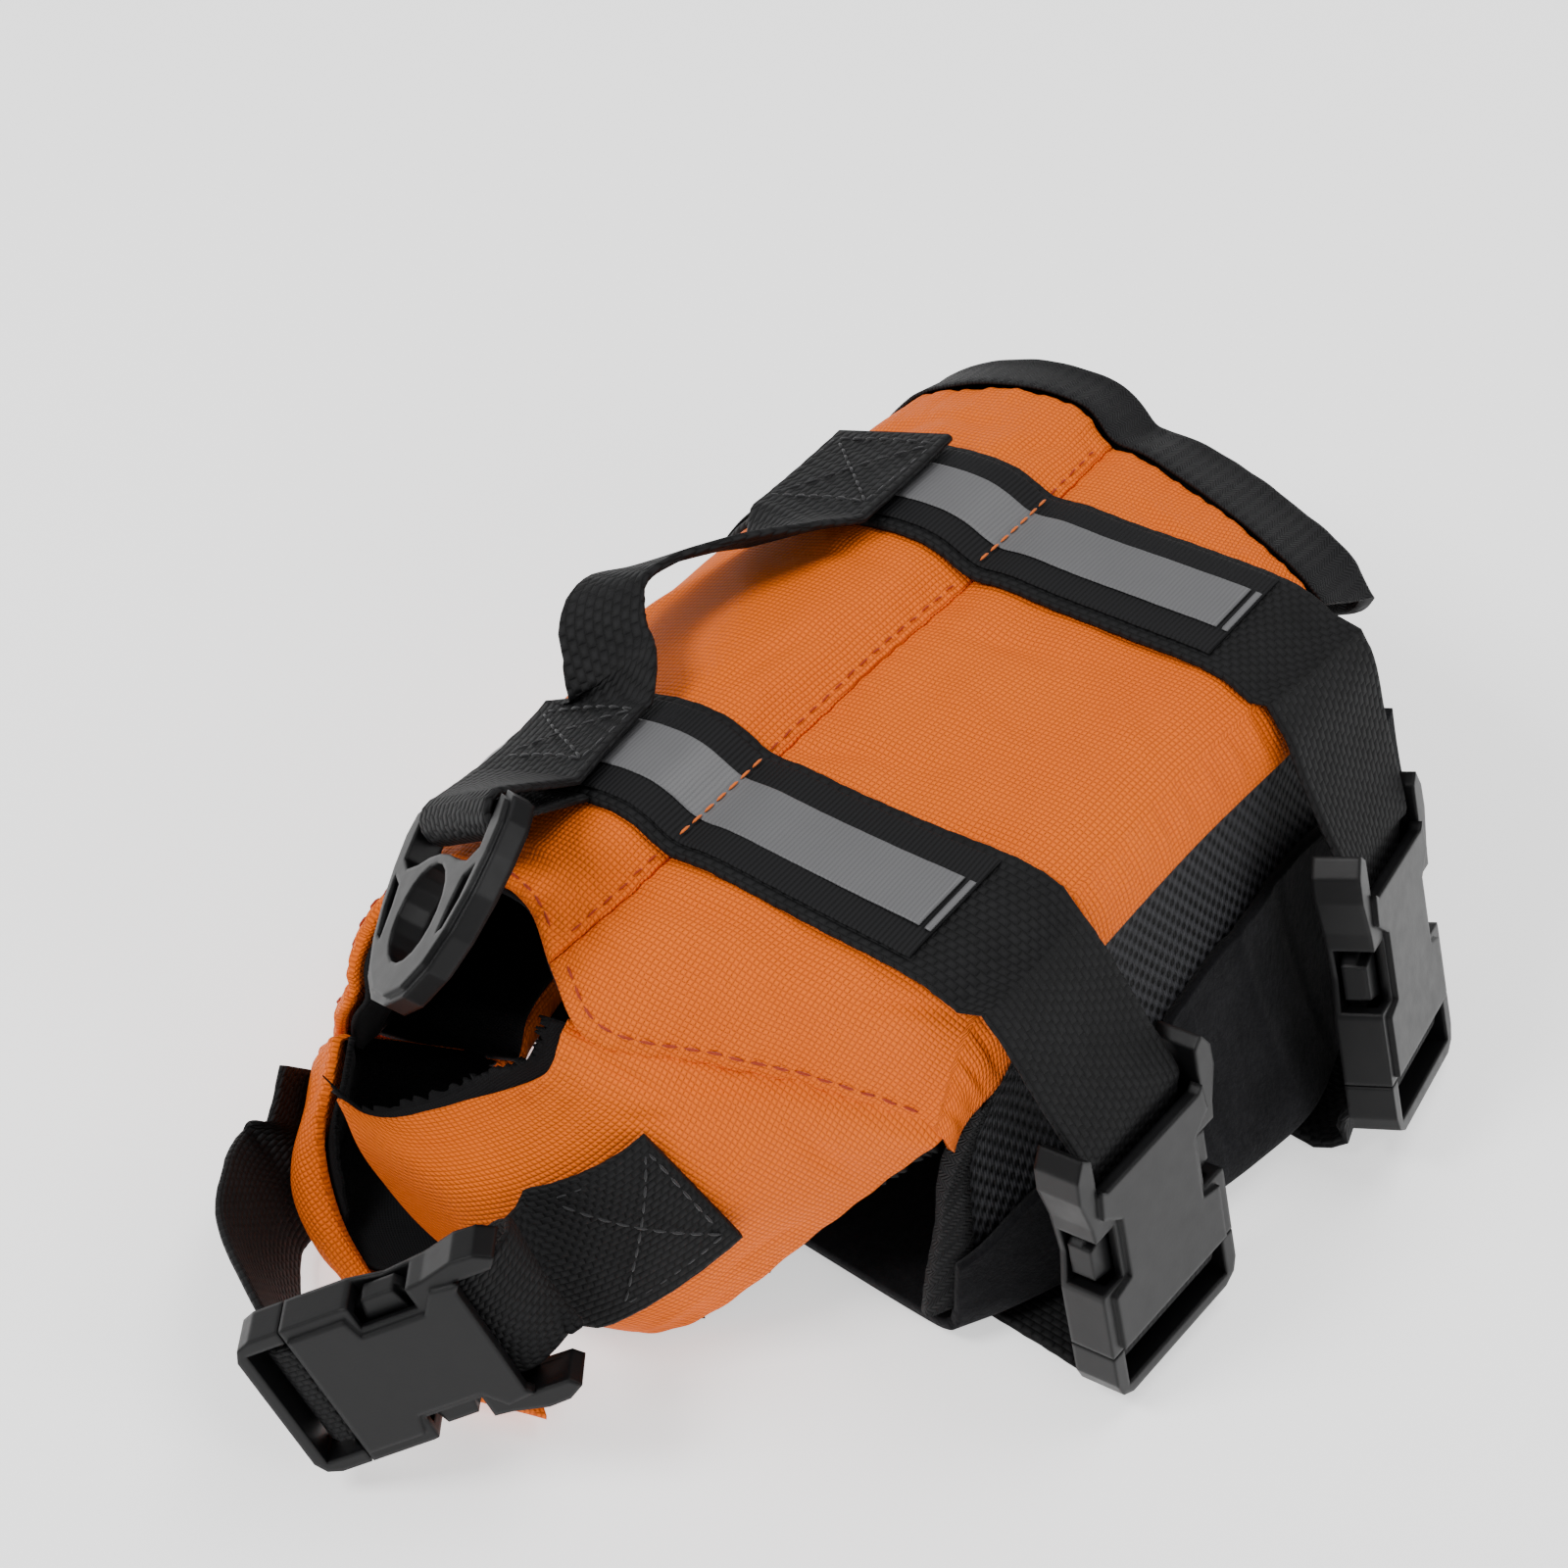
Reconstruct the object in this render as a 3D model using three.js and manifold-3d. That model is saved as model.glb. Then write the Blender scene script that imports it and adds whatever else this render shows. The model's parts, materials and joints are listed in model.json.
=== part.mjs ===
// Dog life jacket, size XS: a foam back in three sections, two neck wings that close round the
// chest, a mesh side, a belly panel, two webbing bands with side-release buckles, a neck strap
// with a smaller buckle, a grab handle and a leash ring.
// Millimetres. +Z is up, -Y is the neck end, +X is the wearer's left, where the buckles are.
// The jacket is fastened and empty. It rests on its belly bands and leans to its right.
// The origin is the middle of the front belly band's flat underside.
import * as THREE from "three";
import { mergeVertices } from "three/addons/utils/BufferGeometryUtils.js";
import Module from "manifold-3d";

const wasm = await Module();
wasm.setup();

// Driving dimensions
const SEAM_GAP = 0.3;
const WEBBING = { width: 25, thick: 1.5 };
const NECK_WEBBING = { width: 20, thick: 1.4 };
const BAND_SPACING = 74;
const FOAM_THICK = 8;
const SEAM_THICK = 2.6;
const CREASE_THICK = 3.6;
const SEAM_PINCH = 1.3;
const SEAM_SPREAD = 4.5;
const WING_THICK = 4.6;
const LINING_THICK = 0.9;
const LINING_GAP = 0.6;
const MESH_THICK = 2.2;
const BELLY_THICK = 2;
const BINDING = { width: 12, thick: 3.4 };
const TAPE = { width: 4.5, thick: 3 };
const RIBBON = { width: 21, thick: 0.4 };
const STRIPE = { width: 10.5, thick: 0.3 };
const SPINE_HALF = 34;
const FOLD_AT = 92;
const RIGHT_EDGE_AT = -94;
const FLOOR_GAP = WEBBING.thick + SEAM_GAP;

const COLOURS = {
  orange: { color: 0xf47a1c, roughness: 0.75 },
  lining: { color: 0x17171b, roughness: 0.85 },
  webbing: { color: 0x19191b, roughness: 0.85 },
  ribbon: { color: 0x202022, roughness: 0.8 },
  reflective: { color: 0x7d7d80, roughness: 0.4 },
  mesh: { color: 0x18181a, roughness: 0.9 },
  plastic: { color: 0x222326, roughness: 0.42 },
};

const vec = (x, y, z) => new THREE.Vector3(x, y, z);
const clamp01 = (x) => Math.min(1, Math.max(0, x));
const smooth = (x) => clamp01(x) ** 2 * (3 - 2 * clamp01(x));
const lerp = (a, b, t) => a + (b - a) * t;
const steps = (from, to, count) => Array.from({ length: count + 1 }, (_, i) => lerp(from, to, i / count));

// Value at x of the smooth curve through (knots, values), which runs straight on past its ends.
function curveAt(knots, values, x) {
  const last = knots.length - 1;
  let i = 0;
  while (i < last - 1 && x > knots[i + 1]) i += 1;
  const slope = (a, b) => (values[b] - values[a]) / (knots[b] - knots[a]);
  const tangent = (k) => (k === 0 ? slope(0, 1) : k === last ? slope(last - 1, last) : slope(k - 1, k + 1));
  const h = knots[i + 1] - knots[i];
  const t = (x - knots[i]) / h;
  if (t < 0) return values[i] + tangent(i) * h * t;
  if (t > 1) return values[i + 1] + tangent(i + 1) * h * (t - 1);
  const t2 = t * t;
  const t3 = t2 * t;
  return (
    values[i] * (2 * t3 - 3 * t2 + 1) +
    values[i + 1] * (3 * t2 - 2 * t3) +
    h * (tangent(i) * (t3 - 2 * t2 + t) + tangent(i + 1) * (t3 - t2))
  );
}

// A surface through a table of points: one row for each section, one column for each place across.
function surface(rowAt, columnAt, table) {
  const point = (across, along) => {
    const sections = table.map((row) =>
      [0, 1, 2].map((axis) => curveAt(columnAt, row.map((p) => p[axis]), across)),
    );
    return vec(...[0, 1, 2].map((axis) => curveAt(rowAt, sections.map((p) => p[axis]), along)));
  };
  const small = 0.4;
  const normal = (across, along) => {
    const acrossStep = point(across + small, along).sub(point(across - small, along));
    const alongStep = point(across, along + small).sub(point(across, along - small));
    return acrossStep.cross(alongStep).normalize();
  };
  return { point, normal };
}

// Closed solid through rings of the same number of points, the rings' ends closed as strips
// between their two halves, so each ring runs out along one side and back along the other.
function solidOfRings(rings) {
  const size = rings[0].length;
  const position = rings.flat().flatMap((p) => [p.x, p.y, p.z]);
  const index = [];
  for (let r = 0; r + 1 < rings.length; r += 1) {
    for (let k = 0; k < size; k += 1) {
      const next = (k + 1) % size;
      const a = r * size + k;
      const b = r * size + next;
      index.push(a, b, a + size, b, b + size, a + size);
    }
  }
  const cap = (start, flip) => {
    for (let k = 0; k < size / 2 - 1; k += 1) {
      const quad = [k, k + 1, size - 2 - k, size - 1 - k].map((i) => start + i);
      const [a, b, c, d] = flip ? quad.toReversed() : quad;
      index.push(a, b, c, a, c, d);
    }
  };
  cap(0, true);
  cap((rings.length - 1) * size, false);
  const geometry = new THREE.BufferGeometry();
  geometry.setAttribute("position", new THREE.Float32BufferAttribute(position, 3));
  geometry.setIndex(index);
  return faceOut(geometry);
}

// Turns a closed geometry's faces outwards if its signed volume is negative.
function faceOut(geometry) {
  const p = geometry.attributes.position;
  const index = geometry.index.array;
  const at = (i) => new THREE.Vector3().fromBufferAttribute(p, i);
  let volume = 0;
  for (let i = 0; i < index.length; i += 3) {
    volume += at(index[i]).dot(at(index[i + 1]).cross(at(index[i + 2])));
  }
  if (volume < 0) {
    for (let i = 0; i < index.length; i += 3) [index[i], index[i + 1]] = [index[i + 1], index[i]];
  }
  return geometry;
}

function toManifold(geometry) {
  const bare = new THREE.BufferGeometry();
  bare.setAttribute("position", geometry.attributes.position);
  if (geometry.index) bare.setIndex(geometry.index);
  const merged = mergeVertices(bare, 1e-4);
  return new wasm.Manifold(
    new wasm.Mesh({
      numProp: 3,
      vertProperties: new Float32Array(merged.attributes.position.array),
      triVerts: new Uint32Array(merged.index.array),
    }),
  );
}

function fromManifold(solid) {
  const mesh = solid.getMesh();
  const geometry = new THREE.BufferGeometry();
  geometry.setAttribute("position", new THREE.Float32BufferAttribute(mesh.vertProperties, 3));
  geometry.setIndex([...mesh.triVerts]);
  return geometry;
}

// Wall on a surface: outer points lifted by outer(across, along), inner points by inner(across, along).
function wall(onto, acrossAt, alongAt, outer, inner) {
  const rings = alongAt.map((along) => {
    const lifted = (across, lift) =>
      onto.point(across, along).addScaledVector(onto.normal(across, along), lift(across, along));
    return [
      ...acrossAt.map((across) => lifted(across, outer)),
      ...acrossAt.toReversed().map((across) => lifted(across, inner)),
    ];
  });
  return solidOfRings(rings);
}

// Back: outer face of the foam, seen as sections across the body from right to left
const BACK_COLUMNS = {
  rightEdge: -94, rightUnder: -80, floorTurn: -68, floorCrease: -62, rightLow: -55, rightUpper: -46,
  rightSeam: -34, spineRight: -12, centre: 0, spineLeft: 12, spineTop: 24, leftSeam: 34,
  leftNear: 47, leftMiddle: 63, leftFar: 80, leftFold: 92,
};
// place along the back of each section: 0 is the middle of the front band
const BACK_ROWS = { front: -38, roll: -20, frontBand: 0, middle: 37, rearBand: BAND_SPACING, rear: 107 };
const BACK_TABLE = [
  // front: neck edge over the spine, front seams on both sides
  [[-15, -20, FLOOR_GAP], [-27, -27, 2.4], [-37, -33, 5.5], [-37, -38, 12], [-33, -42, 19], [-29, -46, 26],
    [-27, -46, 37], [-27, -36, 47.5], [-20, -29.5, 54], [-10, -28.5, 58.5], [-1, -30.5, 60], [7.5, -35, 57.5],
    [17.5, -38.5, 50], [34, -30, 48], [50, -22, 45.5], [64, -15, 40.5]],
  // roll: where the foam starts to turn down to the front seams
  [[-17, -13, FLOOR_GAP], [-30.5, -16, FLOOR_GAP], [-42, -18, 3], [-44, -20, 8], [-42, -21, 15], [-40, -21, 22.5],
    [-37.5, -20, 32.5], [-28.5, -17, 48.5], [-20, -16, 54.5], [-10, -16.5, 60.3], [0.4, -17.5, 63.2],
    [9.8, -19, 61.7], [22, -20, 61.8], [37.5, -18, 61.4], [53.5, -13.5, 60.5], [63.6, -9, 57]],
  // front band
  [[-19.5, 0, FLOOR_GAP], [-33, 0, FLOOR_GAP], [-45, 0, 2.6], [-50.5, 0, 5.4], [-52, 0, 11.5], [-49, 0, 19.5],
    [-43, 0, 29.5], [-30, 0, 46.5], [-20.5, 0, 54.4], [-10, 0, 61], [0.5, 0, 64], [10.4, 0, 62.9],
    [23.3, 0, 63.2], [39, 0, 64.6], [55.8, 0, 66.2], [64.5, 0, 64.2]],
  // middle
  [[-22.5, 37, FLOOR_GAP], [-36, 37, FLOOR_GAP], [-48, 37, 2.8], [-53, 37, 7], [-53, 37, 13.8], [-49, 37, 22.5],
    [-42.8, 37, 33], [-31.8, 37, 51.7], [-20.8, 37, 58.8], [-10, 37, 64], [0.5, 37, 66], [10.6, 37, 64.6],
    [23.3, 37, 65.2], [39, 37, 67], [55.5, 37, 69.4], [64, 37, 67.2]],
  // rear band
  [[-22.5, 74, FLOOR_GAP], [-36, 74, FLOOR_GAP], [-48, 74, 2.8], [-53, 74, 7], [-53, 74, 13.5], [-49, 74, 22],
    [-42.8, 74, 32.4], [-32, 74, 51], [-21.2, 74, 57.6], [-10.2, 74, 62.4], [0.5, 74, 64.8], [10.6, 74, 64.2],
    [23.5, 74, 65], [39.5, 74, 67.4], [56, 74, 69.3], [64.2, 74, 66.6]],
  // rear: pointed over the spine, cut back on both sides
  [[-22, 87, FLOOR_GAP], [-35.5, 87, FLOOR_GAP], [-47, 88, 2.8], [-52, 89.5, 7], [-51.5, 91.5, 13.5], [-47.5, 94.5, 22],
    [-42, 104, 33], [-33, 106, 49], [-23.2, 107, 56.4], [-12, 108, 61], [-0.8, 108.5, 62.6], [7.6, 106.5, 61.6],
    [20.7, 103, 63], [36.5, 97, 66], [53, 89.5, 68.5], [62.3, 86, 66.2]],
];
const BACK_ACROSS = Object.values(BACK_COLUMNS);
const back = surface(Object.values(BACK_ROWS), BACK_ACROSS, BACK_TABLE);
const FRONT = BACK_ROWS.front;
const REAR = BACK_ROWS.rear;

// Foam of the back: thin at the seams and at the crease on the floor, full in between
const backSeams = [-SPINE_HALF, SPINE_HALF];
const seamDistance = (across) => Math.min(...backSeams.map((s) => Math.abs(across - s)));
const pinchAt = (across) => -SEAM_PINCH * Math.exp(-((seamDistance(across) / SEAM_SPREAD) ** 2));
function foamThickness(across, along) {
  const fromSeam = smooth(seamDistance(across) / 9);
  const fromEnds = smooth(Math.min(along - FRONT, REAR - along) / 12);
  const full = lerp(SEAM_THICK, FOAM_THICK, Math.min(fromSeam, fromEnds));
  const crease = Math.exp(-(((across - BACK_COLUMNS.floorCrease) / 13) ** 2));
  return lerp(full, Math.min(full, CREASE_THICK), crease);
}
const outerLift = (across) => pinchAt(across);
const innerLift = (across, along) => pinchAt(across) - foamThickness(across, along);

// Columns of each section's wall, shared by whatever lies on it
const HALF_GAP = SEAM_GAP / 2;
const RIGHT_COLUMNS = [
  RIGHT_EDGE_AT + HALF_GAP, -88, -82, -76, -71, -68, -65, -62, -59, -55, -50, -45, -40, -36.5, -SPINE_HALF - HALF_GAP,
];
const SPINE_COLUMNS = [-SPINE_HALF + HALF_GAP, -31.5, -28, -22, -12, 0, 12, 20, 26, 30, 32.5, SPINE_HALF - HALF_GAP];
const LEFT_COLUMNS = [SPINE_HALF + HALF_GAP, 36.5, 40, 46, 56, 66, 76, 84, 89, FOLD_AT];
const ALL_COLUMNS = [...RIGHT_COLUMNS, ...SPINE_COLUMNS, ...LEFT_COLUMNS];
const columnsBetween = (from, to) => [from, ...ALL_COLUMNS.filter((s) => s > from + 1.5 && s < to - 1.5), to];
const BACK_STATIONS = [FRONT, -34, -29, -24, -17, -8, 4, 20, 37, 54, 72, 88, 97, 103, REAR];

const backSection = (columns) => wall(back, columns, BACK_STATIONS, outerLift, innerLift);

// Left section: its side is the foam's slanted edge, from the fold down to the edge seam
const SIDE_FACE = { width: 9.5, fallsBy: 0.86, runsBy: 0.51 };
function sideFaceAt(along) {
  const full = smooth((along - FRONT) / 20);
  const drop = SIDE_FACE.width * lerp(0.28, 1, full);
  return back
    .point(FOLD_AT, along)
    .add(vec(SIDE_FACE.runsBy * drop, 0, -SIDE_FACE.fallsBy * drop));
}
function leftSection() {
  const rings = BACK_STATIONS.map((along) => {
    const lifted = (s, lift) => back.point(s, along).addScaledVector(back.normal(s, along), lift);
    const outer = LEFT_COLUMNS.map((s) => lifted(s, outerLift(s)));
    const edge = sideFaceAt(along);
    const corner = outer.at(-1).clone().lerp(edge, 0.12).add(vec(0.5, 0, 0.2));
    const inner = LEFT_COLUMNS.slice(0, -1).map((s) => lifted(s, innerLift(s, along)));
    const tucked = inner.at(-1).clone().lerp(edge, 0.55);
    return [...outer, corner, edge, tucked, ...inner.toReversed()];
  });
  return solidOfRings(rings);
}

// Lining: a skin on the inner side of the back
function backLining() {
  const atCrease = (s) => 0.8 * Math.exp(-(((s - BACK_COLUMNS.floorCrease) / 10) ** 2));
  const skin = (lift) => (s, v) => innerLift(s, v) - lift - atCrease(s);
  const columns = ALL_COLUMNS.filter((s) => s < 85);
  return wall(back, columns, BACK_STATIONS, skin(LINING_GAP + LINING_THICK), skin(LINING_GAP));
}

// Binding of the rear edge: a folded tape of flat section that runs on from the panel's edge
function rearBinding() {
  const across = columnsBetween(RIGHT_EDGE_AT + 1, 88);
  const rings = across.map((s) => {
    const edge = back.point(s, REAR);
    const up = back.normal(s, REAR);
    const runAcross = back.point(s + 0.5, REAR).sub(back.point(s - 0.5, REAR)).normalize();
    const out = new THREE.Vector3().crossVectors(up, runAcross).normalize();
    if (out.y < 0) out.negate();
    const half = BINDING.thick / 2;
    const middle = edge.addScaledVector(up, pinchAt(s) - SEAM_THICK / 2);
    const droop = vec(0, 0, -Math.min(2.2, Math.max(0, middle.z - half - FLOOR_GAP) * 0.2));
    const put = (o, u) => middle.clone().addScaledVector(out, o).addScaledVector(up, u);
    const far = BINDING.width;
    return [
      put(SEAM_GAP, half),
      put(far * 0.5, half * 1.15),
      put(far * 0.9, half * 0.75).add(droop),
      put(far, 0).add(droop),
      put(far * 0.9, -half * 0.75).add(droop),
      put(far * 0.5, -half * 1.15),
      put(SEAM_GAP, -half),
      put(SEAM_GAP, 0),
    ];
  });
  return solidOfRings(rings);
}

// Wings: from the front seam round the chest. Columns run from the neck edge to the leg edge.
const WING_COLUMNS = [0, 0.33, 0.67, 1];
const WING_ROWS = [0, 0.35, 0.7, 0.87, 1];
const LEFT_WING_TABLE = [
  [[12.8, -40, 49.5], [29, -32.5, 48.5], [46, -25, 46], [64.2, -16, 40]],
  [[12, -44.5, 42.5], [29, -42, 40], [42, -35.5, 32], [51.5, -24, 20.5]],
  [[0, -49, 33], [18, -53, 29.5], [32.4, -48.6, 17.6], [40.4, -38.6, 4.2]],
  [[-9, -56, 29.5], [6, -60, 26], [24.6, -58.2, 13.4], [35.6, -46, 2.6]],
  [[-16, -59, 30.5], [-7.5, -60.5, 20], [10, -60, 12], [29, -50, 3]],
];
const RIGHT_WING_TABLE = [
  [[-25.5, -49.5, 30.5], [-32, -45.5, 20.5], [-36.5, -37, 9], [-22, -24, 2.6]],
  [[-23, -54.5, 27], [-28, -53, 16], [-29, -46.5, 6], [-14, -32, FLOOR_GAP]],
  [[-19.5, -61, 20], [-21.5, -64, 11], [-17.5, -61, 4.6], [-2, -47, FLOOR_GAP]],
  [[-11, -66, 11.8], [-10.5, -69, 7.4], [-3.5, -66.8, 4], [14, -56, FLOOR_GAP + 0.3]],
  [[2, -69, 6.6], [8, -73, 4.6], [18, -74.5, 3.4], [32, -69, FLOOR_GAP + 0.6]],
];
const leftWing = surface(WING_ROWS, WING_COLUMNS, LEFT_WING_TABLE);
const rightWing = surface(WING_ROWS, WING_COLUMNS, RIGHT_WING_TABLE);
// the tables are in units of the wing's own length, so normals need steps of that size
for (const wing of [leftWing, rightWing]) {
  wing.normal = (a, b) => {
    const small = 0.02;
    const acrossStep = wing.point(a + small, b).sub(wing.point(a - small, b));
    const alongStep = wing.point(a, b + small).sub(wing.point(a, b - small));
    return acrossStep.cross(alongStep).normalize();
  };
}
const edgeRound = (a, b) => smooth(Math.min(a, 1 - a, b, 1 - b) / 0.16);
const wingThickness = (a, b) =>
  lerp(SEAM_THICK - 0.6, WING_THICK * lerp(1, 0.55, smooth((b - 0.5) / 0.4)), edgeRound(a, b));

const WING_ACROSS = [0, 0.08, 0.2, 0.4, 0.6, 0.8, 0.92, 1];
const WING_ALONG = [0.02, 0.1, 0.22, 0.36, 0.5, 0.62, 0.74, 0.85, 0.94, 1];
const WING_LIFT = 0.8;
function wingFoam(wing, outwards) {
  const outer = (a, b) => outwards * WING_LIFT * edgeRound(a, b);
  const inner = (a, b) => outer(a, b) - outwards * wingThickness(a, b);
  return wall(wing, WING_ACROSS, WING_ALONG, outer, inner);
}
function wingLining(wing, outwards, end) {
  const near = (a, b) => outwards * (WING_LIFT * edgeRound(a, b) - wingThickness(a, b) - LINING_GAP);
  const along = WING_ALONG.filter((b) => b <= end);
  return wall(wing, WING_ACROSS, along, (a, b) => near(a, b) - outwards * LINING_THICK, near);
}

// Left side: mesh from the foam's edge seam down to the floor
const SIDE_ROWS = [-21, -8, 20, 50, 66, 82, 103];
const SIDE_COLUMNS = [0, 0.25, 0.5, 0.75, 1];
const SIDE_TABLE = [
  [[64.4, -12.4, 38.6], [64.6, -13.4, 30.5], [65.4, -15, 21], [66.6, -17, 12], [68, -19.2, 4.4]],
  [[65.4, -6, 48], [66.4, -7, 38], [68, -8, 27], [70.4, -8.7, 15], [73, -9.2, 4.4]],
  [[67, 20, 54.8], [68.8, 20, 44.5], [71.6, 20, 32], [77.4, 20, 17], [83.2, 20, 4.6]],
  [[67.2, 50, 56.8], [69.5, 50, 46], [73, 50, 33], [80, 50, 17], [87.5, 50, 4.6]],
  [[66.6, 66, 57], [68.8, 66, 46], [71.6, 66, 33], [76.4, 66, 17], [82.8, 66, 4.6]],
  [[65.8, 82, 56], [68.2, 82, 45], [70.8, 82, 32], [75, 82, 17], [79.6, 82, 5]],
  [[56.5, 102.5, 56.5], [61.5, 102, 46], [66.5, 100.5, 33], [72, 99, 18], [76.5, 97.5, 5.2]],
];
// the top of each section hangs from the foam's lower edge
const hungSide = SIDE_TABLE.map((row, i) => {
  const edge = sideFaceAt(SIDE_ROWS[i]);
  return [[edge.x - 1, edge.y, edge.z - 1.4], ...row.slice(1)];
});
const side = surface(SIDE_ROWS, SIDE_COLUMNS, hungSide);
side.normal = (a, b) => {
  const acrossStep = side.point(a + 0.02, b).sub(side.point(a - 0.02, b));
  const alongStep = side.point(a, b + 0.5).sub(side.point(a, b - 0.5));
  return acrossStep.cross(alongStep).normalize();
};
const SIDE_ALONG = [-19, -13, -6, 4, 16, 30, 44, 58, 72, 86, 95, 102];
const SIDE_ACROSS = steps(0, 0.93, 8);
const sideMesh = () => wall(side, SIDE_ACROSS, SIDE_ALONG, () => 0, () => -MESH_THICK);

// Belly: lies on the bands from the right section's edge, turns up outside the mesh on the left
const BELLY_TOP = { front: 0.7, rear: 0.42 };
const BELLY_COLUMNS = [0, 1, 2, 3, 4, 5, 6, 7, 8];
const bellyRow = (along, start) => {
  const onSide = (a) => {
    const p = side.point(a, along).addScaledVector(side.normal(a, along), SEAM_GAP + BELLY_THICK);
    return [p.x, p.y, p.z];
  };
  const corner = onSide(1);
  const top = lerp(BELLY_TOP.front, BELLY_TOP.rear, smooth((along + 21) / 75));
  const flat = (x) => [x, corner[1], FLOOR_GAP];
  return [
    flat(start), flat(lerp(start, corner[0], 0.3)), flat(lerp(start, corner[0], 0.6)),
    flat(corner[0] - 9), [corner[0] - 1.6, corner[1], FLOOR_GAP + 0.9], onSide(0.97),
    onSide(lerp(0.97, top, 0.33)), onSide(lerp(0.97, top, 0.67)), onSide(top),
  ];
};
const BELLY_STARTS = [
  { along: -21, start: -14.5 }, { along: -8, start: -17.5 }, { along: 8, start: -19.4 },
  { along: 20, start: -20.6 }, { along: 36, start: -22 }, { along: 50, start: -22 },
  { along: 65, start: -22 }, { along: 80, start: -21.6 }, { along: 90, start: -21.2 },
  { along: 103, start: -21 },
];
const belly = surface(
  BELLY_STARTS.map((row) => row.along),
  BELLY_COLUMNS,
  BELLY_STARTS.map((row) => bellyRow(row.along, row.start)),
);
belly.normal = (a, b) => {
  const acrossStep = belly.point(a + 0.05, b).sub(belly.point(a - 0.05, b));
  const alongStep = belly.point(a, b + 0.5).sub(belly.point(a, b - 0.5));
  return alongStep.cross(acrossStep).normalize();
};
const BELLY_ACROSS = [0, 1, 2, 2.6, 3, 3.5, 4, 4.5, 5, 5.6, 6.3, 7, 8];
const bellyPanel = () => wall(belly, BELLY_ACROSS, SIDE_ALONG, () => 0, () => -BELLY_THICK);

// Tape of the side's front edge: folded round the edge, with a flat section that runs on from it
function sideTape() {
  const along = SIDE_ALONG[0];
  const rings = steps(0.02, 0.92, 8).map((s) => {
    const up = side.normal(s, along);
    const out = side.point(s, along - 0.5).sub(side.point(s, along)).normalize();
    const middle = side.point(s, along).addScaledVector(up, -MESH_THICK / 2);
    const put = (o, u) => middle.clone().addScaledVector(out, o).addScaledVector(up, u);
    const half = TAPE.thick / 2;
    const near = 2.5 * SEAM_GAP;
    return [
      put(near, half), put(TAPE.width * 0.7, half), put(TAPE.width, 0),
      put(TAPE.width * 0.7, -half), put(near, -half), put(near, 0),
    ];
  });
  return solidOfRings(rings);
}

// Cross-section of a strap: its outer face, then back along its inner face
const HALF_STEPS = [-0.5, -0.17, 0.17, 0.5];
const strapRing = (outerAt, innerAt) => [...HALF_STEPS.map(outerAt), ...HALF_STEPS.toReversed().map(innerAt)];

// Ring of a strap that runs free: at is the middle of its inner face
function freeRing({ at, side, up }, width, thick) {
  const put = (k, height) => at.clone().addScaledVector(side, k * width).addScaledVector(up, height);
  return strapRing((k) => put(k, thick), (k) => put(k, 0));
}

// Free run of a strap through points, its side direction turned from one given direction to the other
// by the given share of its length
function freeRun(points, sideFrom, sideTo, perSpan, turnedBy = 1) {
  const knots = points.map((_, i) => i);
  const last = points.length - 1;
  const place = (t) => vec(...[0, 1, 2].map((axis) => curveAt(knots, points.map((p) => p.getComponent(axis)), t)));
  return steps(0, last, last * perSpan).map((t) => {
    const along = place(t + 0.02).sub(place(t - 0.02)).normalize();
    const side = sideFrom.clone().lerp(sideTo, smooth(t / (last * turnedBy)));
    side.addScaledVector(along, -side.dot(along)).normalize();
    return { at: place(t), side, up: new THREE.Vector3().crossVectors(along, side).normalize() };
  });
}

// Buckles: place of the mouth at mid thickness, the way it points and the way across it
function buckleFrame({ mouth, axis, across, size }) {
  const a = vec(...axis).normalize();
  const b = vec(...across);
  b.addScaledVector(a, -b.dot(a)).normalize();
  const n = new THREE.Vector3().crossVectors(a, b).normalize();
  const matrix = new THREE.Matrix4().makeBasis(b.clone().negate(), a, n).scale(vec(size, size, size));
  matrix.setPosition(vec(...mouth));
  return { matrix, a, b, n, at: (x, y, z) => vec(x, y, z).applyMatrix4(matrix) };
}
const frontBuckle = buckleFrame({ mouth: [84.8, 0, 41.8], axis: [0.219, 0, -0.976], across: [0, 1, 0], size: 1 });
const rearBuckle = buckleFrame({ mouth: [83.6, 67.8, 41.4], axis: [0.37, -0.173, -0.913], across: [-0.22, 0.938, -0.267], size: 1 });
const neckBuckle = buckleFrame({
  mouth: [29.3, -75.4, 30.6], axis: [-0.675, -0.594, -0.44], across: [0.455, 0.135, -0.88], size: 0.88,
});

const BUCKLE = {
  bodyHalf: 15.5, faceHalf: 13.3, thick: 9, bottom: 30.4, end: 39.8, cavityHalf: 13.1, cavityThick: 4.8,
  earTip: -8.5, windowFrom: 7.5, windowTo: 18, barFrom: 4.2, barTo: 6.6, slotFrom: 32.9, slotTo: 37.8,
  prongThick: 4,
};

function slab(points, from, to) {
  const shape = new THREE.Shape(points.map(([x, y]) => new THREE.Vector2(x, y)));
  const geometry = new THREE.ExtrudeGeometry(shape, { depth: to - from, bevelEnabled: false });
  return toManifold(geometry.translate(0, 0, from));
}
const mirrored = (points) => [...points, ...points.map(([x, y]) => [-x, y]).toReversed()];
const box = (x0, x1, y0, y1, z0, z1) => slab([[x0, y0], [x1, y0], [x1, y1], [x0, y1]], z0, z1);

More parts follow.
